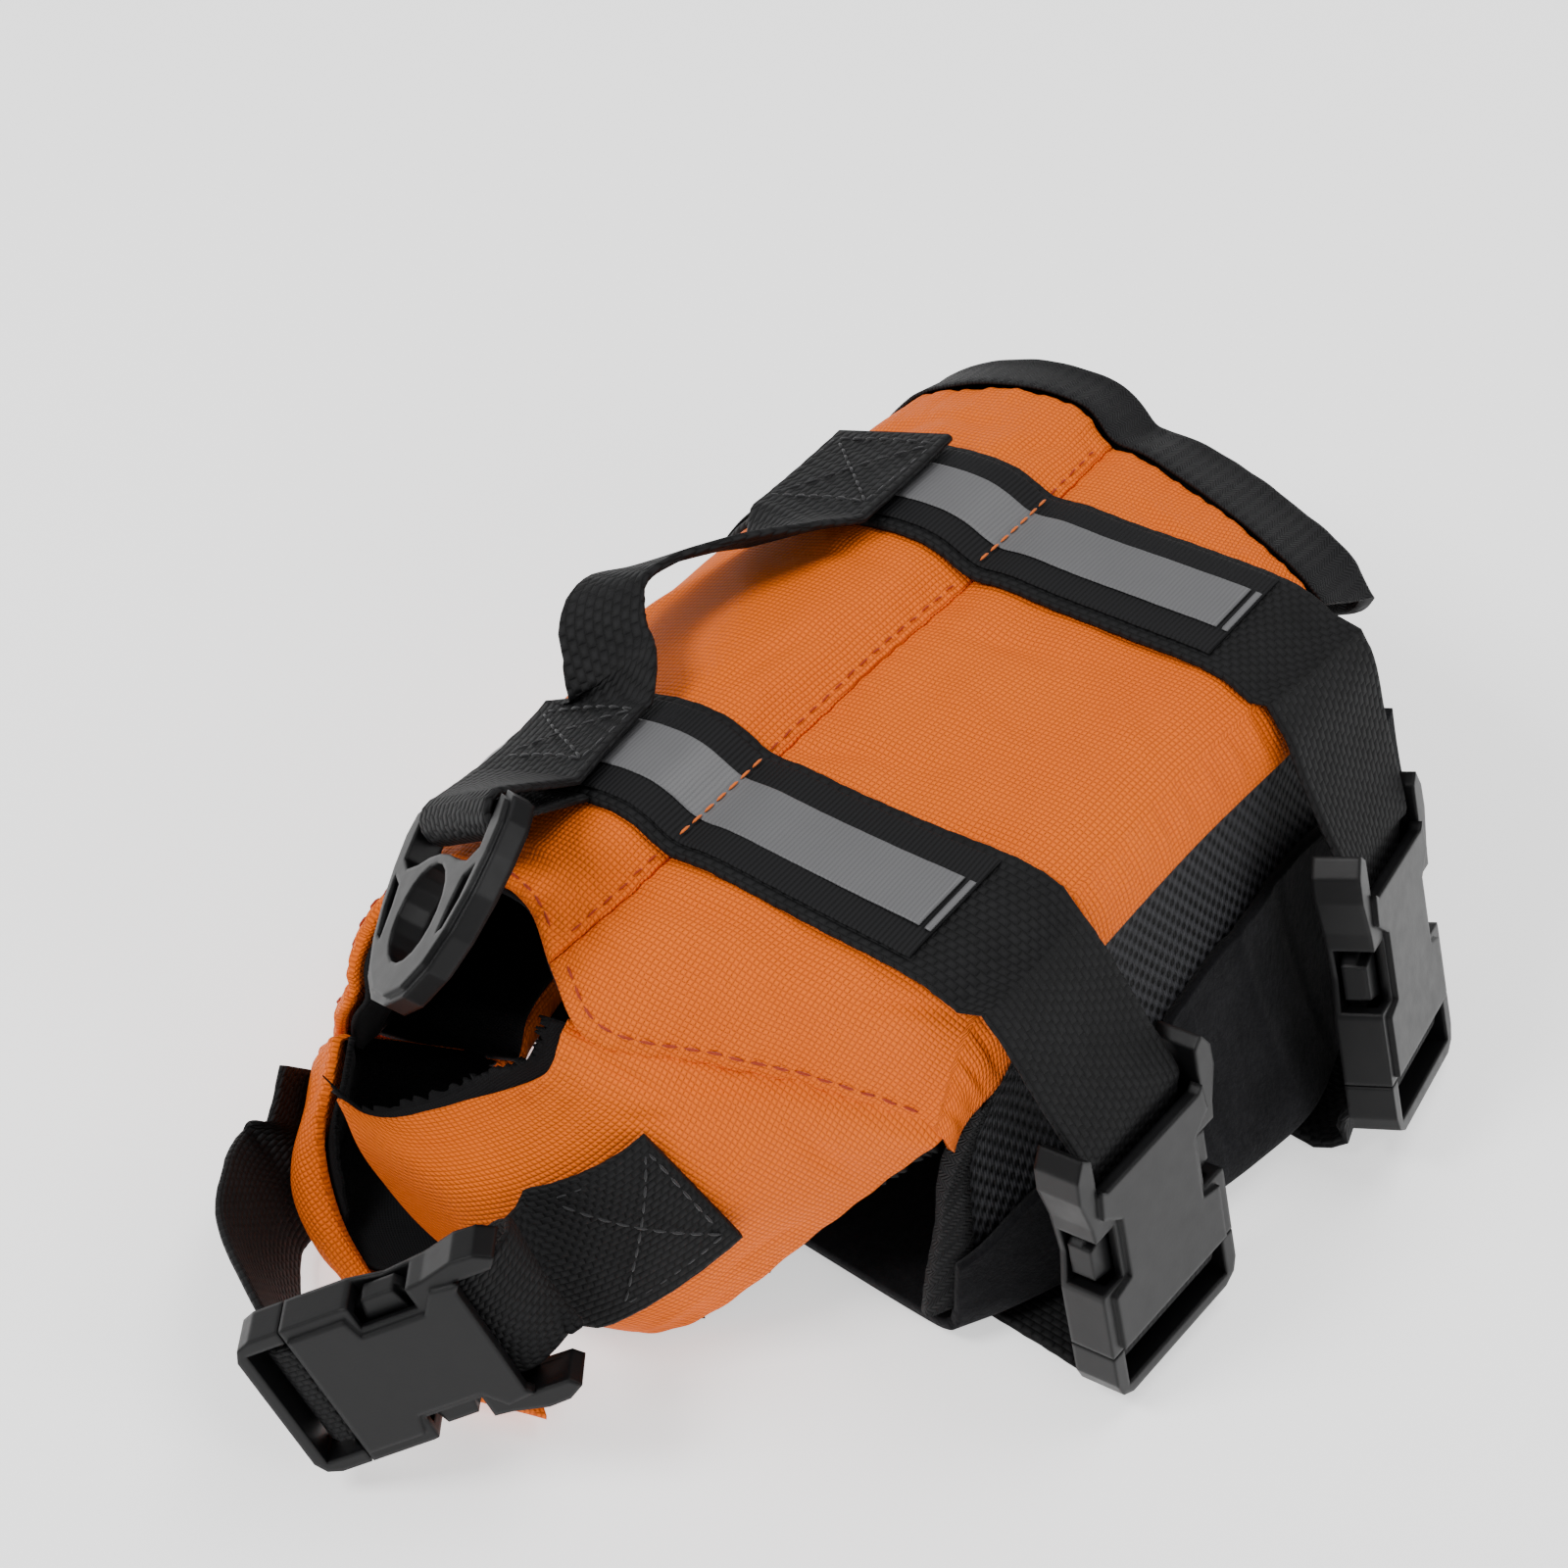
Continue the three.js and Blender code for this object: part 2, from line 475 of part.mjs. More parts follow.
// Female part: a flat sleeve with two ears beside its mouth and a window on each side
function femaleBuckle() {
  const { bodyHalf, faceHalf, thick, bottom, cavityHalf, cavityThick, earTip, windowFrom, windowTo } = BUCKLE;
  const half = thick / 2;
  const core = mirrored([
    [bodyHalf, bottom], [bodyHalf, 19], [bodyHalf - 1.1, 12.5], [bodyHalf - 0.2, 4.5], [bodyHalf + 1.4, -1.5],
    [bodyHalf + 1.2, -5.5], [bodyHalf - 0.6, earTip], [bodyHalf - 2.4, -7], [bodyHalf - 2.5, -2.5], [bodyHalf - 2.4, 0],
  ]);
  const face = mirrored([
    [faceHalf, bottom - 0.5], [faceHalf, 19.5], [faceHalf - 4, 18.5], [faceHalf - 4, 7], [faceHalf, 4],
    [faceHalf - 0.6, -1], [faceHalf - 1.8, 0],
  ]);
  const cavity = box(-cavityHalf, cavityHalf, -10, bottom + 2, -cavityThick / 2, cavityThick / 2);
  const window = box(bodyHalf - 5, bodyHalf + 3, windowFrom, windowTo, -half + 1.7, half + 2);
  const bar = box(-cavityHalf - 1, cavityHalf + 1, BUCKLE.barFrom, BUCKLE.barTo, -1.2, cavityThick / 2 + 1);
  const solid = slab(core, -half + 0.7, half - 0.7)
    .add(slab(face, -half, half))
    .subtract(cavity)
    .subtract(window)
    .subtract(window.mirror([1, 0, 0]))
    .add(bar);
  return fromManifold(solid);
}

// Male part: a frame with the webbing's slot, and two prongs whose ends fill the windows
function maleBuckle() {
  const { bodyHalf, thick, bottom, end, cavityHalf, slotFrom, slotTo, prongThick } = BUCKLE;
  const half = thick / 2 - 0.7;
  const rim = mirrored([
    [bodyHalf, bottom + 0.3], [bodyHalf, 36.2], [bodyHalf - 0.9, 38.6], [bodyHalf - 3.2, end],
  ]);
  const stem = cavityHalf - 0.3;
  const prongs = mirrored([
    [stem, bottom + 1], [stem, 17.6], [stem + 1.7, 16], [stem + 1.7, 10.4], [stem - 0.5, 8.8], [stem - 2.6, 9],
    [stem - 3.4, 12], [stem - 3.4, 20], [stem - 4.4, bottom - 3.4], [2.6, bottom - 3.4], [2.6, 10],
  ]);
  const solid = slab(rim, -half, half)
    .subtract(box(-cavityHalf + 0.2, cavityHalf - 0.2, slotFrom, slotTo, -half - 1, half + 1))
    .subtract(box(-cavityHalf + 0.2, cavityHalf - 0.2, bottom, slotFrom + 1, 0.4, half + 1))
    .add(slab(prongs, -prongThick / 2, 0.4));
  const buttons = slab([[stem - 2.6, 9.4], [stem + 1.7, 10.4], [stem + 1.7, 16], [stem - 2.6, 17.2]], -prongThick / 2, prongThick / 2);
  return fromManifold(solid.add(buttons).add(buttons.mirror([1, 0, 0])));
}
const placed = (geometry, frame) => geometry.applyMatrix4(frame.matrix);

const onTheFloor = (ring) => ring.map((p) => p.setZ(Math.max(0, p.z)));

// Bands: webbing along the back's outer face, then down past the foam's side into a buckle
function onBack(s, along, width, thick, lift) {
  const put = (k, height) => {
    const place = along + k * width;
    return back.point(s, place).addScaledVector(back.normal(s, place), outerLift(s) + height);
  };
  return strapRing((k) => put(k, lift + thick), (k) => put(k, lift));
}
const ALONG_BODY = vec(0, 1, 0);
const BAND_ACROSS = columnsBetween(-80, 89);
// middle of the band's outer face between the foam's fold and the buckle
const DROP = {
  front: [[67.4, 0, 66], [70.8, 0, 62.8], [74.4, 0, 58.6], [79.4, 0, 52.6]],
  rear: [[66.8, 74, 68.4], [70.4, 73.6, 64], [74, 72.4, 58], [78.8, 70.8, 51]],
};
function backBand(at, drop, frame) {
  const outer = [
    ...drop.map((p) => vec(...p)),
    frame.at(0, -4, 0.5 + WEBBING.thick / 2),
    frame.at(0, 0, WEBBING.thick / 2),
    frame.at(0, BUCKLE.barFrom - SEAM_GAP, WEBBING.thick / 2),
  ];
  const free = freeRun(outer, ALONG_BODY, frame.b, 2).map((p) => ({
    ...p,
    at: p.at.addScaledVector(p.up, -WEBBING.thick),
  }));
  return solidOfRings([
    ...BAND_ACROSS.map((s) => onTheFloor(onBack(s, at, WEBBING.width, WEBBING.thick, SEAM_GAP))),
    ...free.map((p) => freeRing(p, WEBBING.width - 0.5, WEBBING.thick)),
  ]);
}

// Ribbon and reflective stripe on each band
const TRIM_ACROSS = columnsBetween(-52, 77.5);
const ON_BAND = SEAM_GAP + WEBBING.thick + SEAM_GAP;
const ON_RIBBON = ON_BAND + RIBBON.thick + SEAM_GAP;
const ON_STRIPE = ON_RIBBON + STRIPE.thick + SEAM_GAP;
const trim = (at, { width, thick }, lift) =>
  solidOfRings(TRIM_ACROSS.map((s) => onBack(s, at, width, thick, lift)));

// Belly bands: flat on the floor under the belly, then up behind the buckle's rim and through its slot
function throughSlot(frame) {
  return [
    frame.at(0, 41.4, -6.6),
    frame.at(0, 38.6, -5.6),
    frame.at(0, 36.6, -3.4),
    frame.at(0, 35.6, 0),
    frame.at(0, 34.2, 2.3),
    frame.at(0, 32.4, 2.7),
    frame.at(0, 30.9, 2.7),
  ];
}
function bellyBand(at, frame) {
  const start = back.point(BACK_COLUMNS.rightUnder, at).x + 1.6;
  const slot = throughSlot(frame);
  const foot = slot[0].clone().addScaledVector(frame.n, -4.4).setZ(0);
  const turn = (x) => smooth((x - 40) / (foot.x - 46));
  const level = frame.b.clone().setZ(0).normalize();
  const onFloor = [start, -18, 5, 25, 40, 52, 62, 70, 77, foot.x - 5, foot.x].map((x) => {
    const middle = vec(x, lerp(at, foot.y, turn(x)), 0);
    const side = ALONG_BODY.clone().lerp(level, turn(x)).normalize();
    return { at: middle, side, up: vec(0, 0, 1) };
  });
  const rise = freeRun([foot, ...slot], level, frame.b, 2, 0.5).slice(1);
  const rings = [...onFloor, ...rise].map((p) => freeRing(p, WEBBING.width - 1, WEBBING.thick));
  return solidOfRings(rings.map(onTheFloor));
}

// Leash ring: a flat moulded ring whose round bar turns in the webbing's loop
const RING = { middle: [-13, -28.2, 68], across: [0.73, -0.14, 0.67], towards: [0.257, -0.87, -0.42], thick: 5, barRadius: 1.9 };
function ringFrame() {
  const x = vec(...RING.across).normalize();
  const y = vec(...RING.towards);
  y.addScaledVector(x, -y.dot(x)).normalize();
  const z = new THREE.Vector3().crossVectors(x, y);
  if (z.z < 0) {
    x.negate();
    z.negate();
  }
  const matrix = new THREE.Matrix4().makeBasis(x, y, z).setPosition(vec(...RING.middle));
  return { matrix, x, y, z, at: (a, b, c) => vec(a, b, c).applyMatrix4(matrix) };
}
const leash = ringFrame();
const ellipse = (cx, cy, rx, ry, count) =>
  Array.from({ length: count }, (_, i) => (2 * Math.PI * i) / count).map((t) => [cx + rx * Math.cos(t), cy + ry * Math.sin(t)]);
function leashRing() {
  const half = RING.thick / 2;
  const body = mirrored([
    [13, -2.4], [16, -1.2], [17.2, 2.5], [17, 8], [16, 14], [13.8, 20.5], [10.4, 26], [5.6, 29.8], [0.01, 31],
  ].toReversed());
  const face = mirrored([
    [12.4, -1.8], [15.2, -0.4], [16.2, 3], [15.9, 8], [14.8, 13.8], [12.6, 19.9], [9.4, 25], [5, 28.6], [0.01, 29.8],
  ].toReversed());
  const slot = mirrored([[0.01, -4], [13, -4], [13.2, 7], [10.5, 9], [7, 8.6], [3.6, 7.6], [0.01, 7.2]].toReversed());
  const side = [[14.1, 9.6], [13.2, 15], [11.4, 19.6], [9.9, 20.4], [10.4, 15], [11.2, 11.4]];
  const solid = slab(body, -half + 0.7, half - 0.7)
    .add(slab(face, -half, half))
    .subtract(slab(slot, -half - 1, half + 1))
    .subtract(slab(ellipse(0, 16.6, 7, 8, 20), -half - 1, half + 1))
    .subtract(slab(side, -half - 1, half + 1))
    .subtract(slab(side, -half - 1, half + 1).mirror([1, 0, 0]));
  const bar = wasm.Manifold.cylinder(27, RING.barRadius, RING.barRadius, 16, true).rotate([0, 90, 0]);
  return placed(fromManifold(solid.add(bar)), leash);
}

// Handle: sewn down on the rear band, free and kinked over the back, sewn down on the front band,
// then round the leash ring's bar and back under to the foam
const HANDLE = {
  rear: { from: 84, to: 58, middleFrom: 3.2, middleTo: 4.6 },
  front: { from: 8, to: -14, middleFrom: 4, middleTo: 6 },
};
// free run: middle of the inner face, direction across the webbing, and its width where it curls
const HANDLE_FREE = [
  { at: [-17.8, 50, 64.6], side: [0.74, -0.12, 0.66], width: 22 },
  { at: [-20.8, 43, 66.5], side: [0.66, -0.28, 0.7], width: 20 },
  { at: [-23.9, 35.8, 67.5], side: [0.66, -0.28, 0.7], width: 18 },
  { at: [-26.4, 29.5, 68], side: [0.74, -0.1, 0.66], width: 15 },
  { at: [-28, 22.3, 68.5], side: [0.86, 0.25, 0.4], width: 13 },
  { at: [-25.6, 16.4, 67.5], side: [0.89, 0.38, 0.25], width: 14 },
  { at: [-21.7, 12.9, 65.5], side: [0.88, 0.36, 0.3], width: 15 },
  { at: [-18.2, 10.2, 64.2], side: [0.84, 0.16, 0.5], width: 18 },
];
function handleStrap() {
  const { width, thick } = WEBBING;
  const sewn = ({ from, to, middleFrom, middleTo }) => (t) => {
    const along = lerp(from, to, t);
    const put = (k, height) => {
      const s = lerp(middleFrom, middleTo, t) + k * width;
      return back.point(s, along).addScaledVector(back.normal(s, along), outerLift(s) + height);
    };
    return strapRing((k) => put(k, ON_STRIPE + thick), (k) => put(k, ON_STRIPE));
  };
  const knots = HANDLE_FREE.map((_, i) => i);
  const value = (name, t) => vec(...[0, 1, 2].map((axis) => curveAt(knots, HANDLE_FREE.map((r) => r[name][axis]), t)));
  const free = steps(0, knots.length - 1, (knots.length - 1) * 2).map((t) => {
    const along = value("at", t + 0.02).sub(value("at", t - 0.02)).normalize();
    const side = value("side", t);
    side.addScaledVector(along, -side.dot(along)).normalize();
    const up = new THREE.Vector3().crossVectors(along, side).normalize();
    return freeRing({ at: value("at", t), side, up }, curveAt(knots, HANDLE_FREE.map((r) => r.width), t), thick);
  });
  const inside = RING.barRadius + SEAM_GAP + 0.1;
  const across = leash.x.clone().multiplyScalar(Math.sign(leash.x.x));
  const gathered = width * 0.93;
  const wrap = [135, 100, 62, 22, -20, -62, -100].map((degrees) => {
    const t = (degrees * Math.PI) / 180;
    const up = leash.y.clone().multiplyScalar(Math.cos(t)).addScaledVector(leash.z, Math.sin(t));
    return freeRing({ at: vec(...RING.middle).addScaledVector(up, inside), side: across, up }, gathered, thick);
  });
  const tuck = (along, lift) => {
    const put = (k, height) => {
      const s = HANDLE.front.middleTo + k * width;
      return back.point(s, along).addScaledVector(back.normal(s, along), height);
    };
    return strapRing((k) => put(k, lift), (k) => put(k, lift + thick));
  };
  return solidOfRings([
    ...steps(0, 1, 5).map(sewn(HANDLE.rear)),
    ...free,
    ...steps(0, 1, 4).map(sewn(HANDLE.front)),
    ...wrap,
    tuck(-17, 1.4),
    tuck(-14.2, SEAM_GAP),
  ]);
}

// Neck strap: sewn to each wing's outer face, then free into the neck buckle's two parts.
// corners are places on the wing: [across, along] of the strap's two edges.
const ON_WING = 1.15;
function strapOnWing(wing, outwards, corners, count, rest) {
  const { width, thick } = NECK_WEBBING;
  const rings = steps(0, 1, count).map((t) => {
    const place = (k) => [0, 1].map((i) => {
      const one = lerp(corners.from[0][i], corners.to[0][i], t);
      const other = lerp(corners.from[1][i], corners.to[1][i], t);
      return lerp(one, other, k + 0.5);
    });
    const put = (k, height) => {
      const [a, b] = place(k);
      return wing.point(a, b).addScaledVector(wing.normal(a, b), outwards * (WING_LIFT + height));
    };
    return strapRing((k) => put(k, ON_WING + thick), (k) => put(k, ON_WING));
  });
  return solidOfRings([...rings, ...rest.map((p) => freeRing(p, width - 0.6, thick))]);
}
const leftOut = Math.sign(leftWing.normal(0.5, 0.5).z);
const rightOut = -Math.sign(rightWing.normal(0.3, 0.3).x);
function neckStrapLeft() {
  const corners = { from: [[0.32, 0.32], [0.76, 0.455]], to: [[0.3, 0.7], [0.75, 0.83]] };
  const sideFrom = leftWing.point(0.75, 0.83).sub(leftWing.point(0.3, 0.7)).normalize();
  const offWing = (a, b, lift) => leftWing.point(a, b).addScaledVector(leftWing.normal(a, b), leftOut * lift);
  const points = [
    offWing(0.52, 0.8, 3.4),
    offWing(0.52, 0.82, 8.5),
    neckBuckle.at(0, -7, -7.5),
    neckBuckle.at(0, -4.2, -3),
    neckBuckle.at(0, -1.2, -0.9),
    neckBuckle.at(0, BUCKLE.barFrom - 0.4, -0.85),
  ];
  return strapOnWing(leftWing, leftOut, corners, 8, freeRun(points, sideFrom, neckBuckle.b, 3, 0.5));
}
function neckStrapRight() {
  const corners = { from: [[0.8, 0.12], [0.2, 0.2]], to: [[0.8, 0.42], [0.2, 0.5]] };
  const start = rightWing.point(0.48, 0.6).addScaledVector(rightWing.normal(0.48, 0.6), rightOut * 2.6);
  const sideFrom = rightWing.point(0.2, 0.5).sub(rightWing.point(0.8, 0.42)).normalize();
  const upright = neckBuckle.b.clone().negate();
  const points = [
    start, vec(-23.2, -68, 11), vec(-18.6, -74.6, 12), vec(-11.6, -80.4, 13), vec(-3.4, -85.6, 14.6),
    neckBuckle.at(0, 36.4, -7), neckBuckle.at(0, 35.1, -3), neckBuckle.at(0, 34.5, 0),
    neckBuckle.at(0, 33, 1.1), neckBuckle.at(0, 31, 0.8),
  ];
  return strapOnWing(rightWing, rightOut, corners, 7, freeRun(points, sideFrom, upright, 2, 0.5));
}

const parts = [];
function add(name, geometry, look) {
  const { color, roughness } = COLOURS[look];
  const material = new THREE.MeshStandardMaterial({ color, roughness, metalness: 0 });
  const mesh = new THREE.Mesh(geometry, material);
  mesh.name = name;
  parts.push(mesh);
}

add("back_spine", backSection(SPINE_COLUMNS), "orange");
add("back_left", leftSection(), "orange");
add("back_right", backSection(RIGHT_COLUMNS), "orange");
add("wing_left", wingFoam(leftWing, leftOut), "orange");
add("wing_right", wingFoam(rightWing, rightOut), "orange");
add("lining_back", backLining(), "lining");
add("lining_wing_left", wingLining(leftWing, leftOut, 1), "lining");
add("lining_wing_right", wingLining(rightWing, rightOut, 0.86), "lining");
add("binding_rear", rearBinding(), "webbing");
add("side_mesh", sideMesh(), "mesh");
add("belly_panel", bellyPanel(), "mesh");
add("tape_side", sideTape(), "webbing");
add("band_front", backBand(0, DROP.front, frontBuckle), "webbing");
add("band_rear", backBand(BAND_SPACING, DROP.rear, rearBuckle), "webbing");
add("ribbon_front", trim(0, RIBBON, ON_BAND), "ribbon");
add("ribbon_rear", trim(BAND_SPACING, RIBBON, ON_BAND), "ribbon");
add("stripe_front", trim(0, STRIPE, ON_RIBBON), "reflective");
add("stripe_rear", trim(BAND_SPACING, STRIPE, ON_RIBBON), "reflective");
add("belly_band_front", bellyBand(0, frontBuckle), "webbing");
add("belly_band_rear", bellyBand(BAND_SPACING, rearBuckle), "webbing");
add("handle", handleStrap(), "webbing");
add("leash_ring", leashRing(), "plastic");
add("neck_strap_left", neckStrapLeft(), "webbing");
add("neck_strap_right", neckStrapRight(), "webbing");
for (const [name, frame] of [["neck", neckBuckle], ["front", frontBuckle], ["rear", rearBuckle]]) {
  add("buckle_" + name + "_female", placed(femaleBuckle(), frame), "plastic");
  add("buckle_" + name + "_male", placed(maleBuckle(), frame), "plastic");
}

const group = new THREE.Group();
group.add(...parts);
export default group;
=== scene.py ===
import json
import math

import bpy
import numpy as np
from mathutils import Matrix, Vector

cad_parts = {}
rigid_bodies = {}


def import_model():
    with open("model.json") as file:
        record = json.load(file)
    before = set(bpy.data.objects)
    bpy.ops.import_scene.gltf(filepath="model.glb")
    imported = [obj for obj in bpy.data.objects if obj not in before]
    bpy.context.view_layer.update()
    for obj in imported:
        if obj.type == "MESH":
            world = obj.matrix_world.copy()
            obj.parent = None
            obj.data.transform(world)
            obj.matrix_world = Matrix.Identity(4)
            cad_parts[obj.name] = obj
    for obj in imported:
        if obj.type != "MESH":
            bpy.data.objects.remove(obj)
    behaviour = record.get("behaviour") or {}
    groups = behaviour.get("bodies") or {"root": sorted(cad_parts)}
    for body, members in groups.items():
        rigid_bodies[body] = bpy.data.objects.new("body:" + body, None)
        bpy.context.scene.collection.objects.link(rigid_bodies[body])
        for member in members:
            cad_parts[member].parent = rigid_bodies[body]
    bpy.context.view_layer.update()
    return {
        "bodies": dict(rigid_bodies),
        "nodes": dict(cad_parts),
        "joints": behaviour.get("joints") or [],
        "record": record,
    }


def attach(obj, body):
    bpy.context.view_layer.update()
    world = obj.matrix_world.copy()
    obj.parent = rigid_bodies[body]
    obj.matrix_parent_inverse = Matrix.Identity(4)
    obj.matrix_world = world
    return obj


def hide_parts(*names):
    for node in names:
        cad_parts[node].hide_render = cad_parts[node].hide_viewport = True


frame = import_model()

MM = 0.001

# sizes, in millimetres
SEAM_GAP = 0.3
WEBBING_WIDTH, WEBBING_THICK = 25.0, 1.5
NECK_WIDTH, NECK_THICK = 19.6, 1.4
BAND_SPACING = 74.0
FOAM_THICK, SEAM_THICK, CREASE_THICK = 8.0, 2.6, 3.6
SEAM_PINCH, SEAM_SPREAD = 1.3, 4.5
WING_THICK, WING_LIFT = 4.6, 0.8
LINING_THICK, LINING_GAP = 0.9, 0.6
MESH_THICK, BELLY_THICK = 2.2, 2.0
SPINE_HALF, FOLD_AT, RIGHT_EDGE_AT = 34.0, 92.0, -94.0
FLOOR_GAP = WEBBING_THICK + SEAM_GAP


def unit(v):
    v = np.asarray(v, float)
    return v / np.linalg.norm(v, axis=-1, keepdims=True)


def smooth(x):
    x = np.clip(x, 0, 1)
    return x * x * (3 - 2 * x)


def lerp(a, b, t):
    return a + (b - a) * t


# Weights of each knot in the smooth curve's value at each x; straight beyond the ends
def weights(knots, xs):
    knots = np.asarray(knots, float)
    xs = np.atleast_1d(np.asarray(xs, float))
    last = len(knots) - 1
    out = np.zeros((len(xs), last + 1))

    def tangent(k):
        a, b = (0, 1) if k == 0 else (last - 1, last) if k == last else (k - 1, k + 1)
        row = np.zeros(last + 1)
        row[b] += 1 / (knots[b] - knots[a])
        row[a] -= 1 / (knots[b] - knots[a])
        return row

    tangents = [tangent(k) for k in range(last + 1)]
    spans = np.clip(np.searchsorted(knots, xs, side="left") - 1, 0, last - 1)
    for n, (x, i) in enumerate(zip(xs, spans)):
        h = knots[i + 1] - knots[i]
        t = (x - knots[i]) / h
        if t < 0:
            out[n] = tangents[i] * h * t
            out[n, i] += 1
        elif t > 1:
            out[n] = tangents[i + 1] * h * (t - 1)
            out[n, i + 1] += 1
        else:
            t2, t3 = t * t, t * t * t
            out[n] = h * (tangents[i] * (t3 - 2 * t2 + t) + tangents[i + 1] * (t3 - t2))
            out[n, i] += 2 * t3 - 3 * t2 + 1
            out[n, i + 1] += 3 * t2 - 2 * t3
    return out


# Surface through a table of points: rows along, columns across
class Surface:
    def __init__(self, rows, columns, table, steps, turn=1):
        self.rows, self.columns, self.steps, self.turn = rows, columns, steps, turn
        self.table = np.array(table, float)

    def points(self, across, along):
        return np.einsum("nr,rcd,mc->nmd", weights(self.rows, along), self.table, weights(self.columns, across))

    def normals(self, across, along):
        across, along = np.atleast_1d(across).astype(float), np.atleast_1d(along).astype(float)
        da, db = self.steps
        u = self.points(across + da, along) - self.points(across - da, along)
        v = self.points(across, along + db) - self.points(across, along - db)
        return unit(np.cross(u, v)) * self.turn

    def at(self, across, along, lift=0.0):
        p = self.points([across], [along])[0, 0]
        return p + self.normals([across], [along])[0, 0] * lift


BACK_COLUMNS = [-94, -80, -68, -62, -55, -46, -34, -12, 0, 12, 24, 34, 47, 63, 80, 92]
BACK_ROWS = [-38, -20, 0, 37, 74, 107]
BACK_TABLE = [
    [[-15, -20, 1.8], [-27, -27, 2.4], [-37, -33, 5.5], [-37, -38, 12], [-33, -42, 19], [-29, -46, 26],
     [-27, -46, 37], [-27, -36, 47.5], [-20, -29.5, 54], [-10, -28.5, 58.5], [-1, -30.5, 60], [7.5, -35, 57.5],
     [17.5, -38.5, 50], [34, -30, 48], [50, -22, 45.5], [64, -15, 40.5]],
    [[-17, -13, 1.8], [-30.5, -16, 1.8], [-42, -18, 3], [-44, -20, 8], [-42, -21, 15], [-40, -21, 22.5],
     [-37.5, -20, 32.5], [-28.5, -17, 48.5], [-20, -16, 54.5], [-10, -16.5, 60.3], [0.4, -17.5, 63.2],
     [9.8, -19, 61.7], [22, -20, 61.8], [37.5, -18, 61.4], [53.5, -13.5, 60.5], [63.6, -9, 57]],
    [[-19.5, 0, 1.8], [-33, 0, 1.8], [-45, 0, 2.6], [-50.5, 0, 5.4], [-52, 0, 11.5], [-49, 0, 19.5],
     [-43, 0, 29.5], [-30, 0, 46.5], [-20.5, 0, 54.4], [-10, 0, 61], [0.5, 0, 64], [10.4, 0, 62.9],
     [23.3, 0, 63.2], [39, 0, 64.6], [55.8, 0, 66.2], [64.5, 0, 64.2]],
    [[-22.5, 37, 1.8], [-36, 37, 1.8], [-48, 37, 2.8], [-53, 37, 7], [-53, 37, 13.8], [-49, 37, 22.5],
     [-42.8, 37, 33], [-31.8, 37, 51.7], [-20.8, 37, 58.8], [-10, 37, 64], [0.5, 37, 66], [10.6, 37, 64.6],
     [23.3, 37, 65.2], [39, 37, 67], [55.5, 37, 69.4], [64, 37, 67.2]],
    [[-22.5, 74, 1.8], [-36, 74, 1.8], [-48, 74, 2.8], [-53, 74, 7], [-53, 74, 13.5], [-49, 74, 22],
     [-42.8, 74, 32.4], [-32, 74, 51], [-21.2, 74, 57.6], [-10.2, 74, 62.4], [0.5, 74, 64.8], [10.6, 74, 64.2],
     [23.5, 74, 65], [39.5, 74, 67.4], [56, 74, 69.3], [64.2, 74, 66.6]],
    [[-22, 87, 1.8], [-35.5, 87, 1.8], [-47, 88, 2.8], [-52, 89.5, 7], [-51.5, 91.5, 13.5], [-47.5, 94.5, 22],
     [-42, 104, 33], [-33, 106, 49], [-23.2, 107, 56.4], [-12, 108, 61], [-0.8, 108.5, 62.6], [7.6, 106.5, 61.6],
     [20.7, 103, 63], [36.5, 97, 66], [53, 89.5, 68.5], [62.3, 86, 66.2]],
]
back = Surface(BACK_ROWS, BACK_COLUMNS, BACK_TABLE, (0.4, 0.4))
FRONT, REAR = -38.0, 107.0

WING_COLUMNS, WING_ROWS = [0, 0.33, 0.67, 1], [0, 0.35, 0.7, 0.87, 1]
LEFT_WING_TABLE = [
    [[12.8, -40, 49.5], [29, -32.5, 48.5], [46, -25, 46], [64.2, -16, 40]],
    [[12, -44.5, 42.5], [29, -42, 40], [42, -35.5, 32], [51.5, -24, 20.5]],
    [[0, -49, 33], [18, -53, 29.5], [32.4, -48.6, 17.6], [40.4, -38.6, 4.2]],
    [[-9, -56, 29.5], [6, -60, 26], [24.6, -58.2, 13.4], [35.6, -46, 2.6]],
    [[-16, -59, 30.5], [-7.5, -60.5, 20], [10, -60, 12], [29, -50, 3]],
]
RIGHT_WING_TABLE = [
    [[-25.5, -49.5, 30.5], [-32, -45.5, 20.5], [-36.5, -37, 9], [-22, -24, 2.6]],
    [[-23, -54.5, 27], [-28, -53, 16], [-29, -46.5, 6], [-14, -32, 1.8]],
    [[-19.5, -61, 20], [-21.5, -64, 11], [-17.5, -61, 4.6], [-2, -47, 1.8]],
    [[-11, -66, 11.8], [-10.5, -69, 7.4], [-3.5, -66.8, 4], [14, -56, 2.1]],
    [[2, -69, 6.6], [8, -73, 4.6], [18, -74.5, 3.4], [32, -69, 2.4]],
]
left_wing = Surface(WING_ROWS, WING_COLUMNS, LEFT_WING_TABLE, (0.02, 0.02))
right_wing = Surface(WING_ROWS, WING_COLUMNS, RIGHT_WING_TABLE, (0.02, 0.02))
left_wing.turn = np.sign(left_wing.normals([0.5], [0.5])[0, 0, 2])
right_wing.turn = -np.sign(right_wing.normals([0.3], [0.3])[0, 0, 0])

